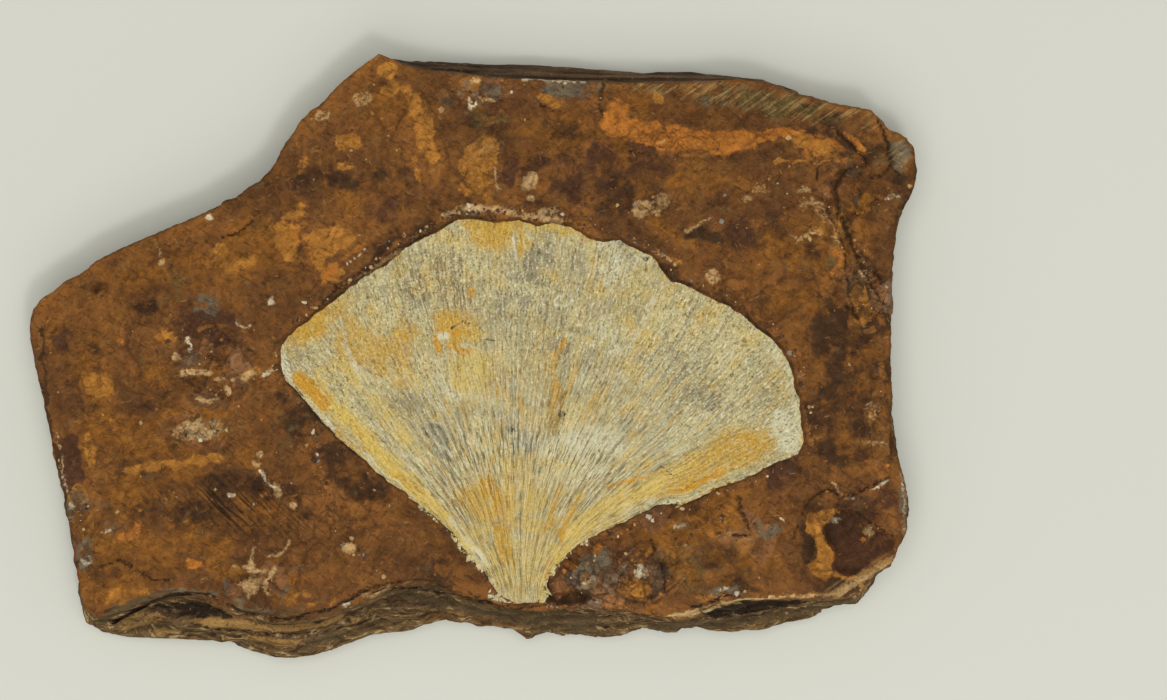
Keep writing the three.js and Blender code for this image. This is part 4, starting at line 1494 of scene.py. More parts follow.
@dataclass(frozen=True)
class RockFinish:
    """Iron-stained mudstone: mottled browns under the slab's stains, layered colours on its flank."""

    rust_brown: Colour = srgb(127, 81, 36)
    dull_brown: Colour = srgb(102, 65, 32)
    deep_brown: Colour = srgb(66, 42, 22)
    tan: Colour = srgb(140, 94, 44)
    # Far wall colours: its own darker rock with painted shade, as it faces away from the light.
    shaded_wall_dark: Colour = srgb(60, 44, 32)
    shaded_wall_pale: Colour = srgb(102, 78, 54)
    shadow: Colour = srgb(40, 27, 15)
    gap_dark: Colour = srgb(36, 25, 16)
    tick_dark: Colour = srgb(44, 28, 14)
    tick_pale: Colour = srgb(166, 124, 72)
    washes: tuple[Wash, ...] = (
        (Stain.RUST, srgb(138, 88, 32), 5.0, 0.3),
        # The umber wash also paints the shade of the two places noted at DARK_ZONES.
        (Stain.UMBER, srgb(58, 39, 23), 3.0, 0.3),
        (Stain.PURPLE, srgb(80, 50, 32), 3.0, 0.3),
    )
    stains: tuple[Wash, ...] = (
        (Stain.OLIVE, srgb(106, 88, 48), 2.4, 0.3),
        (Stain.GREY, srgb(108, 97, 76), 1.2, 0.28),
        (Stain.OCHRE, srgb(174, 116, 46), 2.0, 0.22),
        (Stain.ORANGE, srgb(178, 110, 42), 1.8, 0.26),
        (Stain.CREAM, srgb(186, 150, 100), 0.5, 0.3),
        (Stain.WHITE, srgb(206, 190, 156), 0.4, 0.3),
        # The crack tint also paints shade in the hollow by the raised block near x 12, y -30.
        (Stain.CRACK, srgb(44, 30, 19), 0.6, 0.35),
    )
    # The first layer tint paints the flank's cracks and the shadow under its ledges.
    layers: tuple[Colour, ...] = (srgb(44, 31, 19), srgb(158, 120, 68), srgb(95, 77, 50), srgb(198, 171, 116))
    block_tints: tuple[Stop, ...] = (
        (0.0, srgb(92, 58, 30)),
        (0.3, srgb(126, 80, 40)),
        (0.5, srgb(160, 108, 44)),
        (0.62, srgb(86, 62, 44)),
        (0.78, srgb(142, 94, 54)),
        (0.9, srgb(84, 80, 68)),
    )
    fleck_tints: tuple[Stop, ...] = (
        (0.0, srgb(52, 34, 18)),
        (0.3, srgb(84, 58, 36)),
        (0.42, srgb(158, 118, 66)),
        (0.7, srgb(184, 152, 104)),
        (0.82, srgb(132, 118, 98)),
        (0.92, srgb(178, 112, 36)),
    )
    layer_tints: tuple[Stop, ...] = (
        (0.3, srgb(44, 33, 24)),
        (0.42, srgb(86, 62, 38)),
        (0.5, srgb(108, 84, 50)),
        (0.57, srgb(76, 58, 40)),
        (0.64, srgb(138, 107, 58)),
        (0.74, srgb(98, 70, 38)),
    )
    lightness: float = 0.73
    roughness: float = 0.6
    grit_height: float = 0.36
    gloss: float = 0.1

    def make(self) -> bpy.types.Material:
        """Makes the material.

        Returns:
            The finished material.
        """
        recipe = Recipe("iron_stained_mudstone")
        place = recipe.place
        channels = [*recipe.channels("stains_warm"), *recipe.channels("stains_dull")]
        channels += recipe.channels("stains_fine")
        flank, crest_shade, swell, rubble = recipe.channels("form")
        far_wall_shade, margin, leaf_edge_shadow, _ = recipe.channels("sides")
        bent = recipe.shifted(place, recipe.drift(place, 2.4), 2.0)
        grit = recipe.noise(place, 0.3, 2.0, 0.7)
        smear = recipe.noise(recipe.stretched(recipe.turned(bent, 24), (0.5, 1.2, 1.0)), 1.0, 5.0, 0.62)
        streaks = smear.eased(0.36, 0.58)
        colour = self._mottled(recipe, bent)
        colour = self._stained(recipe, colour, self.washes, channels, bent, streaks)
        colour = self._blocked(recipe, colour, rubble)
        colour = self._stained(recipe, colour, self.stains, channels, bent, streaks)
        colour = self._flaked(recipe, colour, rubble)
        colour = self._lined(recipe, colour, channels)
        # The far wall: its own darker rock with painted shade, as it faces away from the light.
        ledge = recipe.noise(recipe.stretched(place, (0.05, 1.6, 0.5)), 1.0, 3.0, 0.6).eased(0.42, 0.6)
        shaded_far_rock = recipe.mix(ledge, self.shaded_wall_dark, self.shaded_wall_pale)
        colour = recipe.mix(flank, colour, recipe.mix(far_wall_shade * 0.9, self._layered(recipe), shaded_far_rock))
        fibre = recipe.noise(recipe.stretched(bent, (0.35, 1.8, 1.8)), 0.9, 4.0, 0.65).eased(0.3, 0.7)
        for channel, tint in zip(recipe.channels("strata"), self.layers):
            cover = (channel - (fibre * 0.6 + 0.2)).eased(-0.22, 0.22)
            dimmer = tuple(0.6 * part for part in tint)
            colour = recipe.mix(cover * 0.95, colour, recipe.mix(fibre, dimmer, tint))
        colour = self._threaded(recipe, colour, bent)
        colour = self._flecked(recipe, colour, rubble)
        # Painted shadow on the rock along the leaf's edge, broken up by noise.
        leaf_edge_shadow = leaf_edge_shadow * (1.25 - smear).eased(0.55, 0.85)
        colour = recipe.mix(leaf_edge_shadow * 0.65, colour, self.shadow)
        # Painted light and shade: brighter on crests and broad rises, darker in hollows and next to the
        # leaf's edge; smear and grit add random tone.
        light = self.lightness + swell * 0.46 + crest_shade * 0.14 - margin * 0.06
        light = light + (smear - 0.5) * 0.5 + (grit - 0.5) * 0.75
        normal = recipe.bump(grit * 0.5 + smear * 0.5, self.grit_height)
        rough = self.roughness + (grit - 0.5) * 0.6 + channels[Stain.CRACK.value] * 0.2
        recipe.finish(recipe.shaded(colour, light), rough, self.gloss, normal)
        return recipe.material

    def _mottled(self, recipe: Recipe, bent: Value) -> Value:
        """Mixes the browns of the bare rock.

        Args:
            recipe: the material.
            bent: the point on the surface, moved so that patches wander.

        Returns:
            The colour.
        """
        broad = recipe.noise(recipe.place, 13.0, 4.0, 0.5).eased(0.4, 0.58)
        colour = recipe.mix(broad, self.dull_brown, self.rust_brown)
        for size, detail, low, high, share, tint in (
            (6.5, 4.0, 0.5, 0.58, 0.34, self.deep_brown),
            (4.6, 4.0, 0.55, 0.62, 0.22, self.tan),
            (1.5, 3.0, 0.58, 0.64, 0.14, self.deep_brown),
        ):
            blotch = recipe.noise(bent, size, detail, 0.5).eased(low, high)
            colour = recipe.mix(blotch * share, colour, tint)
        return colour

    def _stained(
        self, recipe: Recipe, colour: Value, group: Sequence[Wash], channels: Sequence[Value], bent: Value,
        streaks: Value,
    ) -> Value:
        """Lays stains over the rock, one over another, with broken edges.

        Args:
            recipe: the material.
            colour: the colour so far.
            group: the stains, each with its tint, the size of its edge's pattern and how soft the edge is.
            channels: how fully each stain covers the surface.
            bent: the point on the surface, moved so that patches wander.
            streaks: where a stain shows its full tint.

        Returns:
            The new colour.
        """
        for stain, tint, size, soft in group:
            pattern = recipe.noise(bent, size, 5.0, 0.6).eased(0.3, 0.7)
            broken = 0.48 if stain in (Stain.CREAM, Stain.WHITE) else 0.8
            cover = (channels[stain.value] - (pattern * broken + 0.5 - broken / 2)).eased(-soft, soft)
            dimmer = tuple(0.74 * part + 0.26 * deep for part, deep in zip(tint, self.deep_brown))
            share = 0.84 if stain is Stain.CRACK else 0.92
            colour = recipe.mix(cover * share, colour, recipe.mix(streaks, dimmer, tint))
        return colour

    def _flaked(self, recipe: Recipe, colour: Value, rubble: Value) -> Value:
        """Breaks the colour into flakes, each a little lighter or darker, with dark seams between some.

        Args:
            recipe: the material.
            colour: the colour so far.
            rubble: how broken the rock is.

        Returns:
            The new colour.
        """
        loose = recipe.shifted(recipe.place, recipe.drift(recipe.place, 1.3), 1.1)
        for size, contrast in ((5.5, 0.28), (2.3, 0.18)):
            tone = recipe.cells(loose, size)[0]
            gap = recipe.seams(loose, size).eased(0.07, 0.0)
            where = recipe.noise(recipe.place, size * 3, 3.0).eased(0.48, 0.6)
            colour = recipe.shaded(colour, 1 + (tone - 0.5) * contrast * (0.35 + where * 0.65 + rubble * 2.2))
            colour = recipe.mix(gap * where.most(rubble * 1.3) * 0.45, colour, self.deep_brown)
        return colour

    def _blocked(self, recipe: Recipe, colour: Value, rubble: Value) -> Value:
        """Tints the angular blocks of the broken rock one by one, with dark gaps between them.

        Args:
            recipe: the material.
            colour: the colour so far.
            rubble: how broken the rock is.

        Returns:
            The new colour.
        """
        jagged = recipe.shifted(recipe.place, recipe.drift(recipe.place, 1.0), 0.35)
        for size, share in ((4.4, 0.8), (2.0, 0.5)):
            rare, kind, *_ = recipe.cells(jagged, size)
            chosen = (rubble * 0.9 - rare).eased(0.0, 0.04)
            colour = recipe.mix(chosen * share, colour, recipe.ramp(kind, self.block_tints))
            gap = recipe.seams(jagged, size).eased(0.05, 0.01)
            colour = recipe.mix(gap * rubble.eased(0.25, 0.65) * (share - 0.06), colour, self.gap_dark)
        return colour

    def _threaded(self, recipe: Recipe, colour: Value, bent: Value) -> Value:
        """Draws thin wandering seams and short ticks that run two ways, dark and pale.

        Args:
            recipe: the material.
            colour: the colour so far.
            bent: the point on the surface, moved so that the seams wander.

        Returns:
            The new colour.
        """
        for size, width, share in ((3.4, 0.014, 0.36), (1.6, 0.026, 0.2)):
            wave = recipe.noise(bent, size, 3.0, 0.55) - 0.5
            thread = 1 - wave.most(0 - wave).eased(width * 0.3, width)
            where = recipe.noise(bent, size * 1.7, 3.0, 0.6).eased(0.48, 0.58)
            colour = recipe.mix(thread * where * share, colour, self.tick_dark)
        dark, pale = self.tick_dark, self.tick_pale
        for turn, tint, level in ((-28, dark, 0.6), (52, dark, 0.63), (15, pale, 0.67), (-60, pale, 0.68)):
            slant = recipe.stretched(recipe.turned(recipe.place, turn), (0.7, 2.6, 1.0))
            ticks = recipe.noise(slant, 1.0, 3.0, 0.5).eased(level, level + 0.05)
            colour = recipe.mix(ticks * 0.4, colour, tint)
        return colour

    def _flecked(self, recipe: Recipe, colour: Value, rubble: Value) -> Value:
        """Scatters small angular flecks, thicker where the rock is broken.

        Args:
            recipe: the material.
            colour: the colour so far.
            rubble: how broken the rock is.

        Returns:
            The new colour.
        """
        jagged = recipe.shifted(recipe.place, recipe.drift(recipe.place, 0.6), 0.5)
        for size in (1.9, 0.95):
            rare, kind, girth, away = recipe.cells(jagged, size, "MANHATTAN")
            shape = (girth * 0.3 + 0.1 - away).eased(0.0, 0.06)
            chosen = (rubble * 0.22 + 0.07 - rare).eased(0.0, 0.01)
            colour = recipe.mix(shape * chosen * 0.85, colour, recipe.ramp(kind, self.fleck_tints))
        return colour

    def _lined(self, recipe: Recipe, colour: Value, channels: Sequence[Value]) -> Value:
        """Draws the parallel lines of the striated facets and of the scratched dip.

        Args:
            recipe: the material.
            colour: the colour so far.
            channels: where the facets and the dip are, among the covers of the stains.

        Returns:
            The new colour.
        """
        slant = recipe.stretched(recipe.turned(recipe.place, 35), (0.12, 1.6, 0.2))
        lines = recipe.noise(slant, 1.0, 4.0, 0.7)
        striated, scratched = channels[Stain.STRIATED.value], channels[Stain.SCRATCHED.value]
        colour = recipe.mix(striated * lines.eased(0.5, 0.6) * 0.75, colour, srgb(154, 124, 76))
        colour = recipe.mix(striated * lines.eased(0.5, 0.38) * 0.4, colour, srgb(72, 56, 38))
        slope = recipe.stretched(recipe.turned(recipe.place, -45), (0.16, 2.2, 0.2))
        scores = recipe.noise(slope, 1.0, 2.0, 0.6).eased(0.5, 0.58)
        return recipe.mix(scratched * scores * 0.85, colour, self.tick_dark)

    def _layered(self, recipe: Recipe) -> Value:
        """Colours the flank in thin uneven layers.

        Args:
            recipe: the material.

        Returns:
            The flank's colour.
        """
        bent = recipe.shifted(recipe.place, recipe.drift(recipe.place, 7.0), 1.6)
        layers = recipe.noise(recipe.stretched(bent, (0.09, 0.09, 2.4)), 1.0, 5.0, 0.66)
        rusty = recipe.noise(recipe.place, 9.0, 4.0).eased(0.5, 0.62)
        colour = recipe.mix(rusty * 0.5, recipe.ramp(layers, self.layer_tints), srgb(112, 74, 36))
        splinters = recipe.noise(recipe.stretched(bent, (0.35, 0.35, 3.6)), 0.8, 4.0, 0.65)
        colour = recipe.mix(splinters.eased(0.47, 0.4) * 0.7, colour, srgb(40, 30, 21))
        return recipe.mix(splinters.eased(0.56, 0.62) * 0.6, colour, srgb(176, 151, 104))


@dataclass
class StickingCrumbs:
    """Small angular grains that stick to the slab's face where it is crumbly."""

    slab: MatrixSlab
    per_square: float = 1.2
    by_leaf: int = 640
    small: float = 0.09
    large: float = 0.38
    flatness: float = 0.6
    from_rim: float = 0.7
    from_leaf: float = 0.1
    leaf_arc: Place = (-70.0, 235.0)
    leaf_spread: float = 0.45
    jitter: float = 0.3
    seed: int = 41

    def _scattered(self, draw: np.random.Generator) -> Array:
        """Scatters the grains over the crumbly places and along the leaf's edge.

        Args:
            draw: places them.

        Returns:
            Their places in plan.
        """
        form = self.slab.form
        places = []
        for zone in CRUMB_FIELDS:
            count = int(self.per_square * zone.strength * math.pi * zone.long * zone.wide)
            ring = np.sqrt(draw.random(count)) * draw.uniform(0.7, 1.1, count)
            around = draw.uniform(0, 2 * math.pi, count)
            turn = math.radians(zone.turn)
            along, across = zone.long * ring * np.cos(around), zone.wide * ring * np.sin(around)
            east = zone.x + along * math.cos(turn) - across * math.sin(turn)
            north = zone.y + along * math.sin(turn) + across * math.cos(turn)
            places.append(np.stack([east, north], axis=1))
        along = np.radians(draw.uniform(*self.leaf_arc, self.by_leaf))
        spread = draw.exponential(self.leaf_spread, self.by_leaf)
        away = form.bed.reach(along) + self.from_leaf + spread
        places.append(form.hub + np.stack([np.cos(along), np.sin(along)], axis=1) * away[:, None])
        gaps = (self.from_rim, self.from_leaf)
        return form.between(np.concatenate(places), form.rim.points, self.slab.bed_loop(), gaps)

    def build(self) -> Piece:
        """Makes all grains as one mesh, each with a tint of its own.

        Returns:
            The grains.
        """
        draw = np.random.default_rng(self.seed)
        plan = self._scattered(draw)
        ground = self.slab.form.height(plan) + self.slab.relief(plan)
        size = self.small + (self.large - self.small) * draw.random(len(plan)) ** 3
        solid, faces = self._grain()
        stretch = draw.uniform(0.6, 1.25, (len(plan), 3)) * size[:, None]
        stretch[:, 2] *= self.flatness
        jitter = 1 + draw.uniform(-self.jitter, self.jitter, (len(plan), len(solid), 1))
        turns = draw.uniform(0, 2 * math.pi, len(plan))
        grains = solid[None] * jitter * stretch[:, None, :]
        cosine, sine = np.cos(turns)[:, None], np.sin(turns)[:, None]
        east = grains[..., 0] * cosine - grains[..., 1] * sine + plan[:, :1]
        north = grains[..., 0] * sine + grains[..., 1] * cosine + plan[:, 1:]
        height = grains[..., 2] + ground[:, None] + 0.1 * size[:, None]
        points = np.stack([east, north, height], axis=2).reshape(-1, 3)
        numbers = faces[None] + np.arange(len(plan))[:, None, None] * len(solid)
        piece = made_piece("sticking_crumbs", points, numbers.reshape(-1, 3).tolist())
        piece.data.polygons.foreach_set("use_smooth", np.zeros(len(piece.data.polygons), bool))
        self._tint(piece, draw, len(plan), len(solid))
        return piece

    @staticmethod
    def _grain() -> tuple[Array, Array]:
        """Gives an icosahedron.

        Returns:
            Its points, and the numbers of each face's points.
        """
        golden = (1 + math.sqrt(5)) / 2
        points = []
        for first in (-1, 1):
            for second in (-golden, golden):
                points += [(0, first, second), (first, second, 0), (second, 0, first)]
        solid = np.array(points) / math.hypot(1, golden)
        faces = []
        for one in range(12):
            for two in range(one + 1, 12):
                for three in range(two + 1, 12):
                    trio = solid[[one, two, three]]
                    sides = np.linalg.norm(trio - np.roll(trio, 1, axis=0), axis=1)
                    if sides.max() < 1.2:
                        out = np.dot(np.cross(trio[1] - trio[0], trio[2] - trio[0]), trio.sum(axis=0))
                        faces.append((one, two, three) if out > 0 else (one, three, two))
        return solid, np.array(faces)

    @staticmethod
    def _tint(piece: Piece, draw: np.random.Generator, count: int, corners: int) -> None:
        """Gives each grain a tint, from brown through ochre and cream to white.

        Args:
            piece: the grains.
            draw: picks the tints.
            count: how many grains there are.
            corners: how many points each has.
        """
        tints = np.array([
            srgb(92, 62, 38), srgb(118, 78, 40), srgb(74, 56, 44), srgb(150, 104, 52), srgb(186, 152, 102),
            srgb(204, 188, 160), srgb(132, 122, 108), srgb(100, 70, 40),
        ])
        chance = [0.22, 0.2, 0.12, 0.13, 0.11, 0.05, 0.05, 0.12]
        picked = tints[draw.choice(len(tints), count, p=chance)]
        shade = draw.uniform(0.8, 1.1, (count, 1))
        colours = np.repeat(picked[:, :3] * shade, corners, axis=0)
        write_channels(piece, "tint", [colours[:, 0], colours[:, 1], colours[:, 2], np.ones(len(colours))])


@dataclass(frozen=True)
class CrumbFinish:
    """Dusty mineral grains, each in its own tint."""

    roughness: float = 0.7
    gloss: float = 0.12

    def make(self) -> bpy.types.Material:
        """Makes the material.

        Returns:
            The finished material.
        """
        recipe = Recipe("crumb_grains")
        tint = recipe.value("ShaderNodeAttribute", "Color", {"attribute_name": "tint"}, {})
        speck = recipe.noise(recipe.place, 0.3, 3.0, 0.6)
        colour = recipe.shaded(tint, 0.7 + speck * 0.6)
        recipe.finish(colour, self.roughness, self.gloss, recipe.bump(speck, 0.05))
        return recipe.material


# ---- The leaf ----


class LeafStain(Enum):
    """What colours the leaf: each value is the channel that holds its cover."""

    OCHRE = 0
    YELLOW = 1
    ORANGE = 2
    GREY = 3
    WHITE = 4
    BROWN = 5
    PALE = 6
    DARK = 7


LEAF_MARKS = {
    LeafStain.OCHRE: marks("""
    patch -1.8,17.1 1,18.1 3.9,18.1 5.8,17.1 4.8,14.8 3.3,13.5 .8,13.8 -1,14.8 | .95; -21.2,4.4 3.4 2.4 40;
    .5,-17.5 2.6 1.6 0 .9; 3.6,-23 1 3.4 10 .9; -15.4,1.9 2.4 3.2 20 .7;
    line -17.1,-9.2 -10.3,-18.6 | .6 .5 .8; line 20.9,-20.8 32.9,-16 | .6 .6 .9;
    line 5.9,17.5 5.9,12.7 | .38 .25;
    patch -5.3,5 -4,5.9 -2,5.6 .9,4.5 .5,3.1 -2.1,1.1 -3.5,1.4 -4.7,2.6 | .95; -11.2,.7 3 3.8 30 .6;
    -9.1,2.7 2 1.6 0 .8; -9.6,-2.6 1.5 1.3 0 .6; -17.4,5.7 2.5 1.5 40 .6;
    patch -21.6,-2.7 -20.4,-2.5 -17.9,-5.5 -18.3,-6.4 -19.9,-5.8 -21.2,-4.5;
    line -9.5,-15 -6.4,-17.2 | .5 .38 .85; line -16.4,-8.4 -13.1,-11.9 | .38 .38 .6; 1.5,-18 2.4 3 10 .8;
    3.9,-19.2 1.1 3.3 5 .6; line 11.1,-16.2 9.3,-21.3 | .6 .5 .75; line 13.4,-17.2 10.6,-22.8 | .5 .38 .85;
    line 10,-.3 10.3,-4.1 9.6,-8.9 | .8 .5 .65; line 12.9,-1.1 10.3,-8.9 | .5 .38 .5;
    line 16.1,-3.9 13.1,-8.7 | .5 .38 .5; line 3.3,-8.4 1.9,-14.5 | .5 .38 .5; patch 30.3,-9.7 32.9,-8.9
    35.9,-8.9 38.2,-10.5 37.6,-12.2 33.7,-14.2 27,-17.2 23.6,-18.4 22.4,-18 27.5,-13.4 | .78;
    5.8,-29.3 2 1.3 0 .5; 14.6,14.2 .9 1.8 20 .4
    """),
    LeafStain.YELLOW: marks("""
    line 7.1,16.6 13.4,15.9 | .8 .63 .8; -1.8,2.8 2.8 1; 21.2,7.2 3.4 5.5 -20 .3;
    line -18.2,-5.6 -.3,-24 | 1.1 1 .95; line -16.3,-.6 -8.7,-10.4 | 1.1 1.1 .55; 4.8,-21.8 6.3 7.8 0 .48;
    -.5,-1.8 3 3.3 0 .6; patch 8.3,-27.4 9.8,-23 13.1,-19.6 17.1,-17.2 28.5,-11.7 31.3,-9.9 32.9,-10.4
    28.5,-14.2 23.5,-17.5 16.5,-20.8 12.7,-23.7 9.8,-29.3 | .8; 7.7,-14.2 6.3 2.5 0 .4;
    9.3,-28.7 1.4 3.8 -10 .7; 20.9,15.8 3.2 1.3 -35 .8; 35.1,2.2 2 1.1 -40 .4; -15.6,5.1 1.5 1 30 .5
    """),
    LeafStain.ORANGE: marks("""
    line -22,-2.6 -18.9,-6 | .9 .7; -2.4,3.3 .9 .8 0 .9; line -4.8,2.7 -4.5,.9 | .38 .38 .9;
    line -2.8,1.4 -1.5,.7 -.5,.9 | .5 .38 .75; line 11.6,2.3 10.2,.2 | .2 .15 .95;
    line 26.4,-16.8 31.7,-14.2 | .44 .32 .9; line 16.9,-16.3 23.7,-14.5 | .23 .2 .8;
    line 11.6,-21 10.6,-23.7 | .25 .2 .9; 1.8,-16.2 .9 1.3 10 .8; 2.9,-17.7 .6 1.8 10 .7; -.3,8.2 .5 .8 0 .7;
    line 20.9,-15.5 24.7,-13.9 28.5,-11.9 | .15 .13 .7; 9.3,-27.1 .38 1.5 -10 .6
    """),
    LeafStain.GREY: marks("""
    .1,-21.8 1.6 4 25 .6; -15,5.3 2 2 0 .5; -2.3,10.8 1.5 2.5 0 .5; -7.2,8.5 1.8 2.5 20 .5;
    -10,9.1 2.5 1.5 25 .3; 8.1,11 2.5 3.3 0 .5; 5,8 3 3 0 .5; 14,11.8 3 2 -20 .3; -4.7,-10.5 1.6 3 25 .8;
    -8.1,-5.4 1.8 3 30 .4; 5.9,-11.2 2.3 1.8 0 .8; 3.9,-7.9 1.3 1.5 0 .5;
    line 5.8,-17.5 5.2,-26.6 | .5 .38 .85; line 0,-14.2 2.5,-24 | .38 .38 .6; 25.2,-1 5 3.5 -30 .4;
    29,-4.9 4.3 2 -20 .5; 19.4,-9.2 3.3 1.8 35 .3; 18.7,13.8 1.3 1.8 20 .5; -21.9,.9 1.3 1.3 0 .5
    """),
    LeafStain.WHITE: marks("""
    -3.9,2.7 .8 .44; line -3,3.6 -1.5,4 0,3.5 | .13 .11 .9; -24,-1.1 .6 1.1 20 .8;
    line 4.9,15.3 5.3,12.3 | .18 .14; line 23.5,8.8 19.4,.7 | .44 .38 .4;
    line 10.1,7.2 10.8,7.9 12.1,7.7 12.5,7 11.6,6.4 10.3,6.5 10,7.1 | .14 .14 .9;
    line -10.2,-1.3 -9,-1.2 -8.7,-2.6 -9.8,-2.8 -10.2,-1.5 | .1 .1 .6; line -2.8,-20.5 1.8,-26.3 | .5 .38 .6;
    line -16.9,4.7 -16,1.7 | .38 .25 .5; line -16.4,1.9 -14.9,-1.6 -12.9,-4.4 | .38 .25 .5
    """),
    LeafStain.BROWN: marks("""
    -6.8,8.9 1.3 1.6 0 .6; -2.8,9.8 3 3.8 15 .5; 10.8,.9 1.3 1.8 0 .6; 10.3,-6.4 1.3 3.3 -5 .7;
    -9.6,.2 2.3 1.8 0 .4; line -4.3,-14.2 -1,-22 | .6 .5 .6; line -1.5,-15.2 .8,-23 | .5 .38 .6;
    line 4,-18 4.3,-25.5 | .38 .25 .55; line 7.6,-15.5 6.8,-21.8 | .38 .25 .5
    """),
    LeafStain.PALE: marks("""
    -1.8,-1.8 3.2 5.2 0 .6; 17.4,12 3.2 4 0 .6; 17.4,2.4 3.2 2.6 0 .5; 13.1,-12.4 7 4 25 .66;
    39.3,-9.2 1.9 3.3 20 .8; line 37.3,1.6 39.8,-.3 40.9,-7.9 | 1.1 1 .55;
    line -24.2,.7 -23.2,-2.6 -21.2,-5.1 | .5 .5 .6;
    line -21.2,-5.1 -16.3,-10.4 -5.5,-19 2.3,-28.1 | .38 .38 .7; line -18.2,8.5 -12.9,12 -3,16.6 | .6 .63 .45;
    line 18.4,12.8 22.2,12 32.3,7.2 36.7,3.5 | .6 .63 .5; 28.5,-7.9 5.5 1.8 30 .5; 20.9,-5.4 5 4.5 0 .3;
    line 12.1,-22 20.9,-18 23.7,-18.7 34.2,-15.7 39.8,-13.2 | .6 .5 .8; -14.4,-1.8 1.1 3.3 40 .5
    """),
    LeafStain.DARK: marks("""
    line -3.3,3.6 -2.1,4 -1.6,4.5 -.5,4.3 .8,3.7 1.1,3.2 | .11 .09 1 -.1; line 1,2.2 3.3,2.2 | .11 .08 .9 -.1;
    line 1.1,-26.8 2,-27.2 | .11 .09 1 -.1; line 23.5,-13.7 25,-14.8 | .1 .08 .9 -.08; 21.6,12.3 .43 .3 20 .8;
    17.4,-14.5 .8 .2 30 .6; 4.8,-9.2 .6 .38 0 .6; 11.1,-7.1 .5 .5 0 .6;
    line -21.9,-5.4 -14.1,-13.4 | .1 .09 .7 -.08; -5,-8.5 1 .38 -30 .4
    """),
}
LEAF_LEDGES = marks("""
    line 18.7,-16.3 28.5,-11.3 34.2,-9 36.7,-9.5 | .13 .13 0 0 -.13 3;
    line -3.3,3.6 -1.6,4.3 3.3,2.2 | .13 .13 0 0 .1; line .5,12 5.8,12.5 10.8,12 | .13 .13 0 0 .05
""")


@dataclass(frozen=True)
class Vein:
    """A vein between two forks: how far up the leaf it starts and ends, and its place across the leaf."""

    low: float
    high: float
    start: float
    end: float
    parting: float = 0.09

    def place(self, height: float) -> float:
        """Gives its place across the leaf, at a share of the leaf's height."""
        share = min(max((height - self.low) / self.parting, 0.0), 1.0)
        return self.start + (self.end - self.start) * share * share * (3 - 2 * share)


class VeinTree:
    """The leaf's veins, each of which forks in two where there is room for two."""

    def __init__(self, base: float, margin: float, first: int, room: float, seed: int) -> None:
        """Grows the veins.

        Args:
            base: the leaf's width at its base.
            margin: the length of its outer margin.
            first: how many veins leave the base.
            room: how much width a vein has before it forks.
            seed: seeds their small differences.
        """
        self.base = base
        self.margin = margin
        self.room = room
        self.draw = np.random.default_rng(seed)
        self.veins: list[Vein] = []
        for index in range(first):
            left, right = index / first, (index + 1) / first
            self._grow(left, right, -0.2, (left + right) / 2)

    def _grow(self, left: float, right: float, low: float, start: float) -> None:
        """Adds a vein, and those that it forks into.

        Args:
            left: the left limit of its strip, across the leaf.
            right: the right limit.
            low: how far up the leaf it starts.
            start: its place there.
        """
        room = self.room * self.draw.uniform(0.8, 1.25)
        high = (room / (right - left) - self.base) / (self.margin - self.base)
        high = max(high, low + 0.05)
        middle = (left + right) / 2 + self.draw.uniform(-0.08, 0.08) * (right - left)
        self.veins.append(Vein(low, high, start, middle))
        if high < 1:
            split = left + (right - left) * self.draw.uniform(0.43, 0.57)
            self._grow(left, split, high, middle)
            self._grow(split, right, high, middle)

    def distance(self, across: Array, height: float, width: float) -> Array:
        """Gives the distance from the nearest vein along a row of the leaf.

        Args:
            across: the places in the row, from 0 to 1.
            height: the row's share of the leaf's height.
            width: the row's length.

        Returns:
            The distances, in millimetres.
        """
        places = np.sort([vein.place(height) for vein in self.veins if vein.low <= height < vein.high])
        after = np.clip(np.searchsorted(places, across), 1, len(places) - 1)
        return np.minimum(np.abs(across - places[after - 1]), np.abs(places[after] - across)) * width


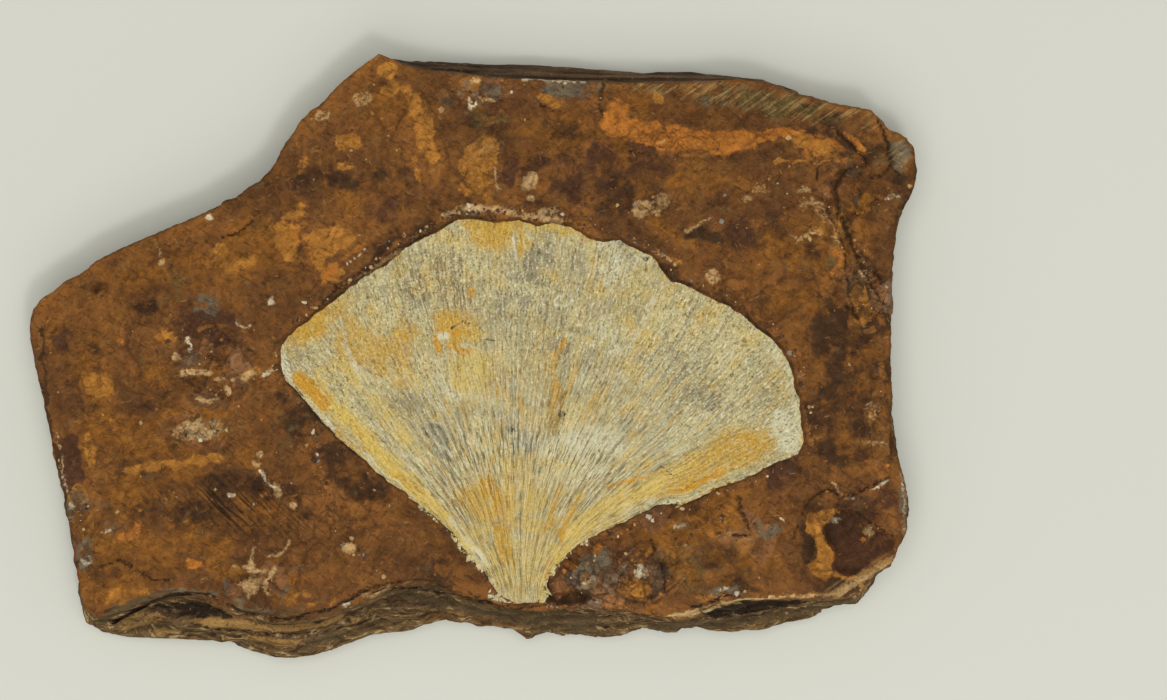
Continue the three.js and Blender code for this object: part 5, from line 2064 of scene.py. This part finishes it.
@dataclass
class GinkgoLeaf:
    """The leaf: a thin fan of mineral film with forking ribs, a ragged margin and a small folded strip."""

    node: Piece
    left_corner: Place = (-24.5, -1.0)
    right_corner: Place = (41.9, -10.5)
    base_left: Place = (4.7, -30.8)
    base_right: Place = (7.9, -31.0)
    rows: int = 168
    finest: int = 880
    column_gap: float = 0.112
    overlap: float = 0.6
    base_line: float = -30.9
    base_flare: float = 0.4
    ragged: float = 0.52
    edge_level: float = 9.62
    dome: float = 0.09
    rib_height: float = 0.08
    rib_width: float = 0.12
    thread_height: float = 0.03
    grain_height: float = 0.04
    swell_height: float = 0.06
    edge_drop: float = 0.05
    first_veins: int = 13
    base_width: float = 3.2
    vein_room: float = 0.92
    calm_reach: int = 45
    calm_spread: float = 15.0
    seed: int = 23

    def __post_init__(self) -> None:
        """Seeds the leaf's noise and reads its outline from the frame."""
        self.ripple = Ripple(self.seed)
        frame = FrameRings(self.node)
        self.hub = frame.hub
        self.foot = float(frame.rings[-1][:, 2].mean())
        self.outline = frame.rings[-1][:, :2]

    def side(self, start: Place, end: Place, count: int) -> Array:
        """Gives evenly spaced points along the outline, anticlockwise between two corners.

        Args:
            start: the first corner.
            end: the last corner.
            count: how many points there are.

        Returns:
            The points.
        """
        first = int(np.argmin(np.linalg.norm(self.outline - start, axis=1)))
        last = int(np.argmin(np.linalg.norm(self.outline - end, axis=1)))
        steps = (last - first) % len(self.outline)
        route = self.outline[(first + np.arange(steps + 1)) % len(self.outline)]
        away = route - self.hub
        reach = np.linalg.norm(away, axis=1, keepdims=True)
        route = route + away / reach * self.overlap
        along = np.concatenate([[0], np.cumsum(np.linalg.norm(np.diff(route, axis=0), axis=1))])
        wanted = np.linspace(0, along[-1], count)
        return np.stack([np.interp(wanted, along, route[:, axis]) for axis in (0, 1)], axis=1)

    def calm(self, side: Array) -> Array:
        """Smooths the small bends out of a side.

        Args:
            side: its points.

        Returns:
            As many points, from the same start to the same end.
        """
        chord = side[0] + np.linspace(0, 1, len(side))[:, None] * (side[-1] - side[0])
        near = np.exp(-0.5 * (np.arange(-self.calm_reach, self.calm_reach + 1) / self.calm_spread) ** 2)
        ends = ((self.calm_reach, self.calm_reach), (0, 0))
        bend = np.pad(side - chord, ends, mode="reflect", reflect_type="odd")
        calmed = [np.convolve(bend[:, axis], near / near.sum(), "valid") for axis in (0, 1)]
        return chord + np.stack(calmed, axis=1)

    def columns_at(self, width: float) -> int:
        """Gives how many columns a row has, which halves from the margin towards the base.

        Args:
            width: the row's length.

        Returns:
            The number.
        """
        count = self.finest
        while width / (count // 2) < self.column_gap:
            count //= 2
        return count

    def fan(self) -> tuple[list[Array], Array, Array, Array]:
        """Lays the rows of points from the leaf's base to its margin.

        Returns:
            The rows, then each point's place across the leaf, share of its height and distance from a vein.
        """
        count = self.finest + 1
        base = self.side(self.base_left, self.base_right, count)
        right = self.side(self.base_right, self.right_corner, self.rows)
        margin = self.side(self.right_corner, self.left_corner, count)[::-1]
        left = self.side(self.left_corner, self.base_left, self.rows)[::-1]
        across = np.linspace(0, 1, count)[:, None]
        calm_left, calm_right = self.calm(left), self.calm(right)
        bends_left, bends_right = left - calm_left, right - calm_right
        near_left, near_right = (1 - across) ** 7, across**7
        length = float(np.linalg.norm(np.diff(margin, axis=0), axis=1).sum())
        tree = VeinTree(self.base_width, length, self.first_veins, self.vein_room, self.seed)
        rows, places, heights, veins = [], [], [], []
        for index in range(self.rows):
            up = index / (self.rows - 1)
            row = (1 - up) * base + up * margin + (1 - across) * calm_left[index] + across * calm_right[index]
            row += near_left * bends_left[index] + near_right * bends_right[index]
            row -= (1 - across) * ((1 - up) * base[0] + up * margin[0])
            row -= across * ((1 - up) * base[-1] + up * margin[-1])
            width = float(np.linalg.norm(np.diff(row, axis=0), axis=1).sum())
            step = self.finest // self.columns_at(width)
            rows.append(row[::step])
            places.append(across[::step, 0])
            heights.append(np.full(len(rows[-1]), up))
            veins.append(tree.distance(places[-1], up, width))
        return rows, np.concatenate(places), np.concatenate(heights), np.concatenate(veins)

    def build(self) -> Piece:
        """Makes the leaf's mesh and its stains.

        Returns:
            The leaf.
        """
        rows, across, up, vein = self.fan()
        plan = np.concatenate(rows)
        starts = np.concatenate([[0], np.cumsum([len(row) for row in rows])])
        loop = self.border(starts)
        inset = self.inset(plan, plan[loop])
        plan = self.fray(plan, inset)
        rib = np.exp(-0.5 * (vein / self.rib_width) ** 2)
        wear = smooth(-0.55, 0.35, self.ripple.fractal(plan + 15, 4.0, 4, 0.6))
        rib *= (0.25 + 0.75 * wear) * (1 - 0.45 * smooth(0.5, 0.85, up))
        top = np.column_stack([plan, self.level(plan, across, up, inset, rib)])
        skirt = np.column_stack([plan[loop], np.full(len(loop), self.foot)])
        under = len(plan) + np.arange(len(loop))
        below = triangles_between([plan[loop]], np.empty((0, 2)))[:, ::-1]
        faces = [*self.grid_faces(starts), strip(loop, under), under[below]]
        piece = made_piece("leaf_film", np.concatenate([top, skirt]), np.concatenate(faces).tolist())
        both = np.concatenate([np.arange(len(plan)), loop])
        write_channels(piece, "fan", [across[both], up[both], rib[both], smooth(0.0, 1.2, inset[both])])
        self.stain(piece, plan[both])
        return piece

    def grid_faces(self, starts: Array) -> list[Array]:
        """Joins the rows with triangles, two columns into one where the next row has twice as many.

        Args:
            starts: the number of each row's first point.

        Returns:
            Triples of numbers, facing up.
        """
        faces = []
        for low, high, end in zip(starts, starts[1:], starts[2:]):
            cells = high - low - 1
            finer = (end - high - 1) // cells
            near = low + np.arange(cells)
            far = high + np.arange(cells) * finer
            faces.append(np.stack([near, near + 1, far + 1], axis=1))
            faces.append(np.stack([near, far + 1, far], axis=1))
            if finer == 2:
                faces.append(np.stack([near + 1, far + 2, far + 1], axis=1))
        return faces

    @staticmethod
    def border(starts: Array) -> Array:
        """Gives the numbers of the points round the grid's edge, anticlockwise from the base."""
        first_row, last_row = np.arange(starts[1]), np.arange(starts[-2], starts[-1])
        return np.concatenate([first_row, starts[2:-1] - 1, last_row[::-1], starts[1:-2][::-1]])

    def inset(self, plan: Array, border: Array) -> Array:
        """Gives each point's distance from the leaf's edge.

        Args:
            plan: N points.
            border: the edge's points.

        Returns:
            N distances.
        """
        tree = KDTree(len(border))
        for index, place in enumerate(border):
            tree.insert((place[0], place[1], 0.0), index)
        tree.balance()
        return np.array([tree.find((east, north, 0.0))[2] for east, north in plan])

    def fray(self, plan: Array, inset: Array) -> Array:
        """Makes the leaf's margin ragged.

        Args:
            plan: N points.
            inset: their distances from the edge.

        Returns:
            The moved points.
        """
        away = plan - self.hub
        away /= np.maximum(np.linalg.norm(away, axis=1, keepdims=True), 1.0)
        push = self.ripple.fractal(plan + 44, 1.15, 4, 0.85) * self.ragged
        frayed = plan + away * (push * smooth(0.9, 0.0, inset))[:, None]
        middle = (self.base_left[0] + self.base_right[0]) / 2
        flare = 1 + self.base_flare * smooth(self.base_line + 2.6, self.base_line, frayed[:, 1])
        frayed[:, 0] = middle + (frayed[:, 0] - middle) * flare
        end = self.base_line + 0.2 * self.ripple.fractal(frayed[:, :1] * (1, 0), 1.2, 3)
        below = np.clip(end - frayed[:, 1], 0, None)
        frayed[:, 1] += below - 0.12 * np.tanh(below)
        return frayed

    def level(self, plan: Array, across: Array, up: Array, inset: Array, rib: Array) -> Array:
        """Gives the height of the leaf's face.

        Args:
            plan: N points.
            across: their places across the leaf.
            up: their shares of its height.
            inset: their distances from its edge.
            rib: how much of a vein's rib they have.

        Returns:
            N heights.
        """
        fan = self.ripple.fractal(np.column_stack([across * 190, up * 14]), 1.0, 2)
        close = self.ripple.fractal(np.column_stack([across * 60, up * 12]), 1.0, 2)
        fine = smooth(0.2, 0.6, up)
        threads = self.thread_height * (fine * fan + (1 - fine) * close)
        grain = self.grain_height * self.ripple.fractal(plan + 9, 0.9, 3, 0.6)
        swell = self.swell_height * self.ripple.fractal(plan, 9.0, 3)
        rise = self.dome * smooth(0.0, 3.0, inset) - self.edge_drop * smooth(0.15, 0.0, inset)
        cuts = risen(LEAF_MARKS[LeafStain.DARK], plan) + risen(LEAF_LEDGES, plan)
        return self.edge_level + rise + swell + self.rib_height * rib + threads + grain + cuts

    def stain(self, piece: Piece, plan: Array) -> None:
        """Works out what colours each point and stores it on the piece.

        Args:
            piece: the leaf.
            plan: its points, in plan.
        """
        drift = self.ripple.wander(plan, 1.6, 4, (30, 60))
        soft = plan + 0.5 * drift
        sharp = plan + 0.12 * drift
        crisp = {LeafStain.WHITE: 0.25, LeafStain.DARK: 0.16, LeafStain.ORANGE: 0.6}
        covers = []
        for stain in LeafStain:
            where = sharp if stain in crisp else soft
            covers.append(covered(LEAF_MARKS[stain], where, crisp.get(stain, 2.6)))
        write_channels(piece, "leaf_warm", covers[:4])
        write_channels(piece, "leaf_cool", covers[4:])


@dataclass(frozen=True)
class LeafFinish:
    """Clay mineral film: cream and grey with ochre stains, in fine streaks that fan out from the base."""

    cream: Colour = srgb(206, 193, 140)
    clay: Colour = srgb(180, 168, 124)
    gold: Colour = srgb(226, 186, 84)
    # light and the gold tint after it colour painted highlights on the film's threads and ribs; light also
    # colours pale crumbs at the edge.
    light: Colour = srgb(236, 229, 190)
    gold_highlight: Colour = srgb(238, 206, 118)
    furrow: Colour = srgb(110, 99, 64)
    dash: Colour = srgb(74, 64, 38)
    slate: Colour = srgb(146, 138, 112)
    ember: Colour = srgb(214, 164, 62)
    stains: tuple[tuple[LeafStain, Colour, float], ...] = (
        (LeafStain.PALE, srgb(222, 216, 176), 0.3),
        (LeafStain.GREY, srgb(140, 132, 108), 0.34),
        (LeafStain.BROWN, srgb(142, 114, 64), 0.34),
        (LeafStain.YELLOW, srgb(225, 190, 86), 0.32),
        (LeafStain.OCHRE, srgb(208, 160, 56), 0.32),
        (LeafStain.ORANGE, srgb(214, 150, 20), 0.25),
        (LeafStain.WHITE, srgb(232, 226, 192), 0.4),
        (LeafStain.DARK, srgb(46, 38, 26), 0.25),
    )
    lightness: float = 0.865
    roughness: float = 0.64
    grain_height: float = 0.16
    gloss: float = 0.12

    def make(self) -> bpy.types.Material:
        """Makes the material.

        Returns:
            The finished material.
        """
        recipe = Recipe("leaf_clay_film")
        place = recipe.place
        across, up, rib, inner = recipe.channels("fan")
        channels = [*recipe.channels("leaf_warm"), *recipe.channels("leaf_cool")]
        grain = recipe.noise(place, 0.28, 3.0, 0.8)
        patch = recipe.noise(place, 2.4, 6.0, 0.68)
        waver = (recipe.noise(place, 1.3, 3.0) - 0.5) * 3.0
        strand = self._streak(recipe, across, up, (46.0, 100.0, 150.0), 5.0, waver)
        thread = self._streak(recipe, across, up, (90.0, 190.0, 300.0), 22.0, waver)
        pattern = (strand * 0.3 + patch * 0.55 + grain * 0.15).eased(0.38, 0.62)
        fire = self._streak(recipe, across, up, (36.0, 70.0, 100.0), 2.6, waver)
        colour = self._washed(recipe, patch, strand, fire, up)
        for stain, tint, soft in self.stains:
            cover = (channels[stain.value] - (pattern * 0.86 + 0.07)).eased(-soft, soft)
            colour = recipe.mix(cover * 0.94, colour, tint)
        worn = up.eased(0.35, 0.8)
        short = self._streak(recipe, across, up, (90.0, 200.0, 330.0), 54.0, waver)
        rough = short * 0.56 + grain * 0.44
        mottle = thread + (rough - thread) * (0.2 + worn * 0.55)
        long_dark = strand.eased(0.48, 0.38) * (1 - worn * 0.55)
        warm = channels[LeafStain.OCHRE.value].most(channels[LeafStain.ORANGE.value])
        warm = warm.most(channels[LeafStain.YELLOW.value] * 0.8)
        colour = recipe.mix(long_dark * 0.5, colour, self.furrow)
        furrowed = mottle.eased(0.49, 0.4) * (1 - rib * 0.6) * (0.85 - warm * 0.35 - worn * 0.12)
        colour = recipe.mix(furrowed, colour, self.furrow)
        # Painted highlights: pale threads, golden over the warm stains, and lighter raised ribs.
        glint = recipe.mix(warm, self.light, self.gold_highlight)
        colour = recipe.mix(mottle.eased(0.52, 0.59) * (0.7 - warm * 0.2), colour, glint)
        colour = recipe.mix(rib * 0.4, colour, glint)
        dashes = rough.eased(0.435, 0.37) * (0.08 + patch.eased(0.4, 0.62) * 0.5)
        colour = recipe.mix(dashes * (1 - warm * 0.5), colour, self.dash)
        colour = self._crumbled(recipe, colour, inner)
        colour = recipe.shaded(colour, self.lightness + (grain - 0.5) * 1.05 + (patch - 0.5) * 0.22)
        normal = recipe.bump(thread * 0.4 + grain * 0.6, self.grain_height)
        recipe.finish(colour, self.roughness + (grain - 0.5) * 0.4, self.gloss, normal)
        return recipe.material

    def _washed(self, recipe: Recipe, patch: Value, strand: Value, fire: Value, up: Value) -> Value:
        """Mixes the film's broad tints: grey clay, cream, gold, slate and streaks of ochre.

        Args:
            recipe: the material.
            patch: noise in patches.
            strand: noise drawn out in strands.
            fire: noise drawn out in broad streaks.
            up: the share of the leaf's height.

        Returns:
            The colour.
        """
        cloud = recipe.noise(recipe.place, 7.0, 6.0, 0.62)
        colour = recipe.mix(cloud.eased(0.42, 0.58), self.clay, self.cream)
        drawn = strand.eased(0.5, 0.62) * (0.75 - up * 0.45)
        colour = recipe.mix(drawn, colour, self.gold)
        golden = recipe.noise(recipe.place, 4.6, 6.0, 0.7).eased(0.52, 0.62)
        colour = recipe.mix(golden * 0.6, colour, self.gold)
        slaty = (patch * 0.7 + strand * 0.3).eased(0.53, 0.62)
        colour = recipe.mix(slaty * 0.4, colour, self.slate)
        lower = up.eased(0.85, 0.35)
        colour = recipe.mix(fire.eased(0.53, 0.6) * (lower * 0.6 + 0.12), colour, self.ember)
        return recipe.mix(fire.eased(0.47, 0.4) * lower * 0.6, colour, self.slate)

    def _crumbled(self, recipe: Recipe, colour: Value, inner: Value) -> Value:
        """Breaks the film's edge into pale crumbs and dark pits.

        Args:
            recipe: the material.
            colour: the colour so far.
            inner: 0 at the edge, 1 inside.

        Returns:
            The new colour.
        """
        crumb = recipe.noise(recipe.place, 0.6, 3.0, 0.7)
        edge = 1 - inner
        colour = recipe.mix(edge.eased(0.3, 0.75) * crumb.eased(0.5, 0.55) * 0.55, colour, self.light)
        return recipe.mix(edge.eased(0.45, 0.95) * crumb.eased(0.46, 0.42) * 0.8, colour, self.dash)

    @staticmethod
    def _streak(
        recipe: Recipe, across: Value, up: Value, counts: tuple[float, ...], length: float, waver: Value
    ) -> Value:
        """Gives noise drawn out along the veins, about as fine all over the leaf.

        Args:
            recipe: the material.
            across: the place across the leaf.
            up: the share of its height.
            counts: how many streaks there are across it near its base, halfway and at its margin.
            length: how many streaks follow each other up the leaf.
            waver: how far it strays sideways, in streaks.

        Returns:
            The noise.
        """
        layers = []
        for count in counts:
            inputs = {"X": across * count + waver * (count / counts[2]), "Y": up * length, "Z": count}
            point = recipe.value("ShaderNodeCombineXYZ", "Vector", {}, inputs)
            layers.append(recipe.noise(point, 1.0, 2.0, 0.6))
        low, high = up.eased(0.12, 0.3), up.eased(0.4, 0.62)
        lower = layers[0] + (layers[1] - layers[0]) * low
        return lower + (layers[2] - lower) * high


# ---- Floor, light and camera ----


@dataclass(frozen=True)
class SoftBox:
    """An area light: where it hangs, how large it is and how strong."""

    name: str
    place: tuple[float, float, float]
    size: float
    power: float
    tint: tuple[float, float, float] = (1.0, 1.0, 1.0)

    def hang(self, aim: Vector) -> None:
        """Adds the light to the scene.

        Args:
            aim: the point that it is turned towards.
        """
        light = bpy.data.lights.new(self.name, "AREA")
        light.shape = "DISK"
        light.size = self.size
        light.energy = self.power
        light.color = self.tint
        lamp = bpy.data.objects.new(self.name, light)
        lamp.location = self.place
        lamp.rotation_euler = (aim - Vector(self.place)).to_track_quat("-Z", "Y").to_euler()
        bpy.context.scene.collection.objects.link(lamp)


@dataclass
class Studio:
    """A plain pale floor, soft light and a camera that looks straight down."""

    camera_place: tuple[float, float, float] = (13.8, 0.93, 457.0)
    lens: float = 109.4
    sensor: float = 36.0
    far_end: float = 10.0
    floor_half: float = 1200.0
    floor_level: float = -0.02
    floor_tint: Colour = (0.7, 0.705, 0.62, 1.0)
    floor_shade: Colour = (0.62, 0.63, 0.56, 1.0)
    sky: tuple[float, float, float] = (1.0, 1.0, 0.98)
    sky_strength: float = 0.35
    boxes: tuple[SoftBox, ...] = (
        SoftBox("overhead_lamp", (0.12, -0.26, 0.8), 0.11, 0.95),
        SoftBox("ceiling_box", (0.0, -0.05, 0.95), 0.8, 4.2),
        SoftBox("near_box", (0.0, -0.42, 0.62), 0.5, 0.8),
    )

    def build(self) -> None:
        """Sets the stage."""
        self._lay_floor()
        self._light()
        self._point_camera()

    def _lay_floor(self) -> None:
        """Lays the floor just under the slab."""
        half = self.floor_half
        corners = np.array([(-half, -half), (half, -half), (half, half), (-half, half)], float)
        corners = np.column_stack([corners, np.full(4, self.floor_level)])
        floor = made_piece("floor", corners, [(0, 1, 2, 3)])
        recipe = Recipe("pale_paper")
        grain = recipe.noise(recipe.place, 60.0, 3.0)
        colour = recipe.mix(grain * 0.05, self.floor_tint, self.floor_shade)
        recipe.finish(colour, 0.8, 0.1, recipe.bump(grain, 0.01))
        floor.data.materials.append(recipe.material)

    def _light(self) -> None:
        """Hangs the soft boxes and tints the sky."""
        world = bpy.data.worlds.new("studio_sky")
        world.use_nodes = True
        background = world.node_tree.nodes["Background"]
        background.inputs["Color"].default_value = (*self.sky, 1.0)
        background.inputs["Strength"].default_value = self.sky_strength
        bpy.context.scene.world = world
        for box in self.boxes:
            box.hang(Vector((0.0, 0.0, 0.0)))

    def _point_camera(self) -> None:
        """Places the camera above the slab, looking down, with the leaf's far margin at the top."""
        lens = bpy.data.cameras.new("camera")
        lens.lens = self.lens
        lens.sensor_width = self.sensor
        lens.clip_end = self.far_end
        camera = bpy.data.objects.new("camera", lens)
        camera.location = Vector(self.camera_place) * MM
        bpy.context.scene.collection.objects.link(camera)
        bpy.context.scene.camera = camera


# ---- Everything in order ----


def fit(piece: Piece, material: bpy.types.Material, node: str | None = None) -> None:
    """Dresses a piece and says what it belongs to.

    Args:
        piece: the piece.
        material: its finish.
        node: the frame's solid that it stands for, if any.
    """
    piece.data.materials.append(material)
    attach(piece, BODY)
    if node is not None:
        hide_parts(node)
    LOG.info("%s: %d faces", piece.name, len(piece.data.polygons))


def main() -> None:
    """Builds the slab, its crumbs, the leaf and the studio, in that order."""
    logging.basicConfig(level=logging.INFO, format="%(message)s")
    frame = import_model()
    slab = MatrixSlab(SlabForm(frame["nodes"][ROCK_NODE]))
    fit(slab.build(), RockFinish().make(), ROCK_NODE)
    fit(StickingCrumbs(slab).build(), CrumbFinish().make())
    leaf = GinkgoLeaf(frame["nodes"][LEAF_NODE])
    fit(leaf.build(), LeafFinish().make(), LEAF_NODE)
    Studio().build()
    bpy.context.scene.view_settings.view_transform = "Standard"


if __name__ == "__main__":
    main()
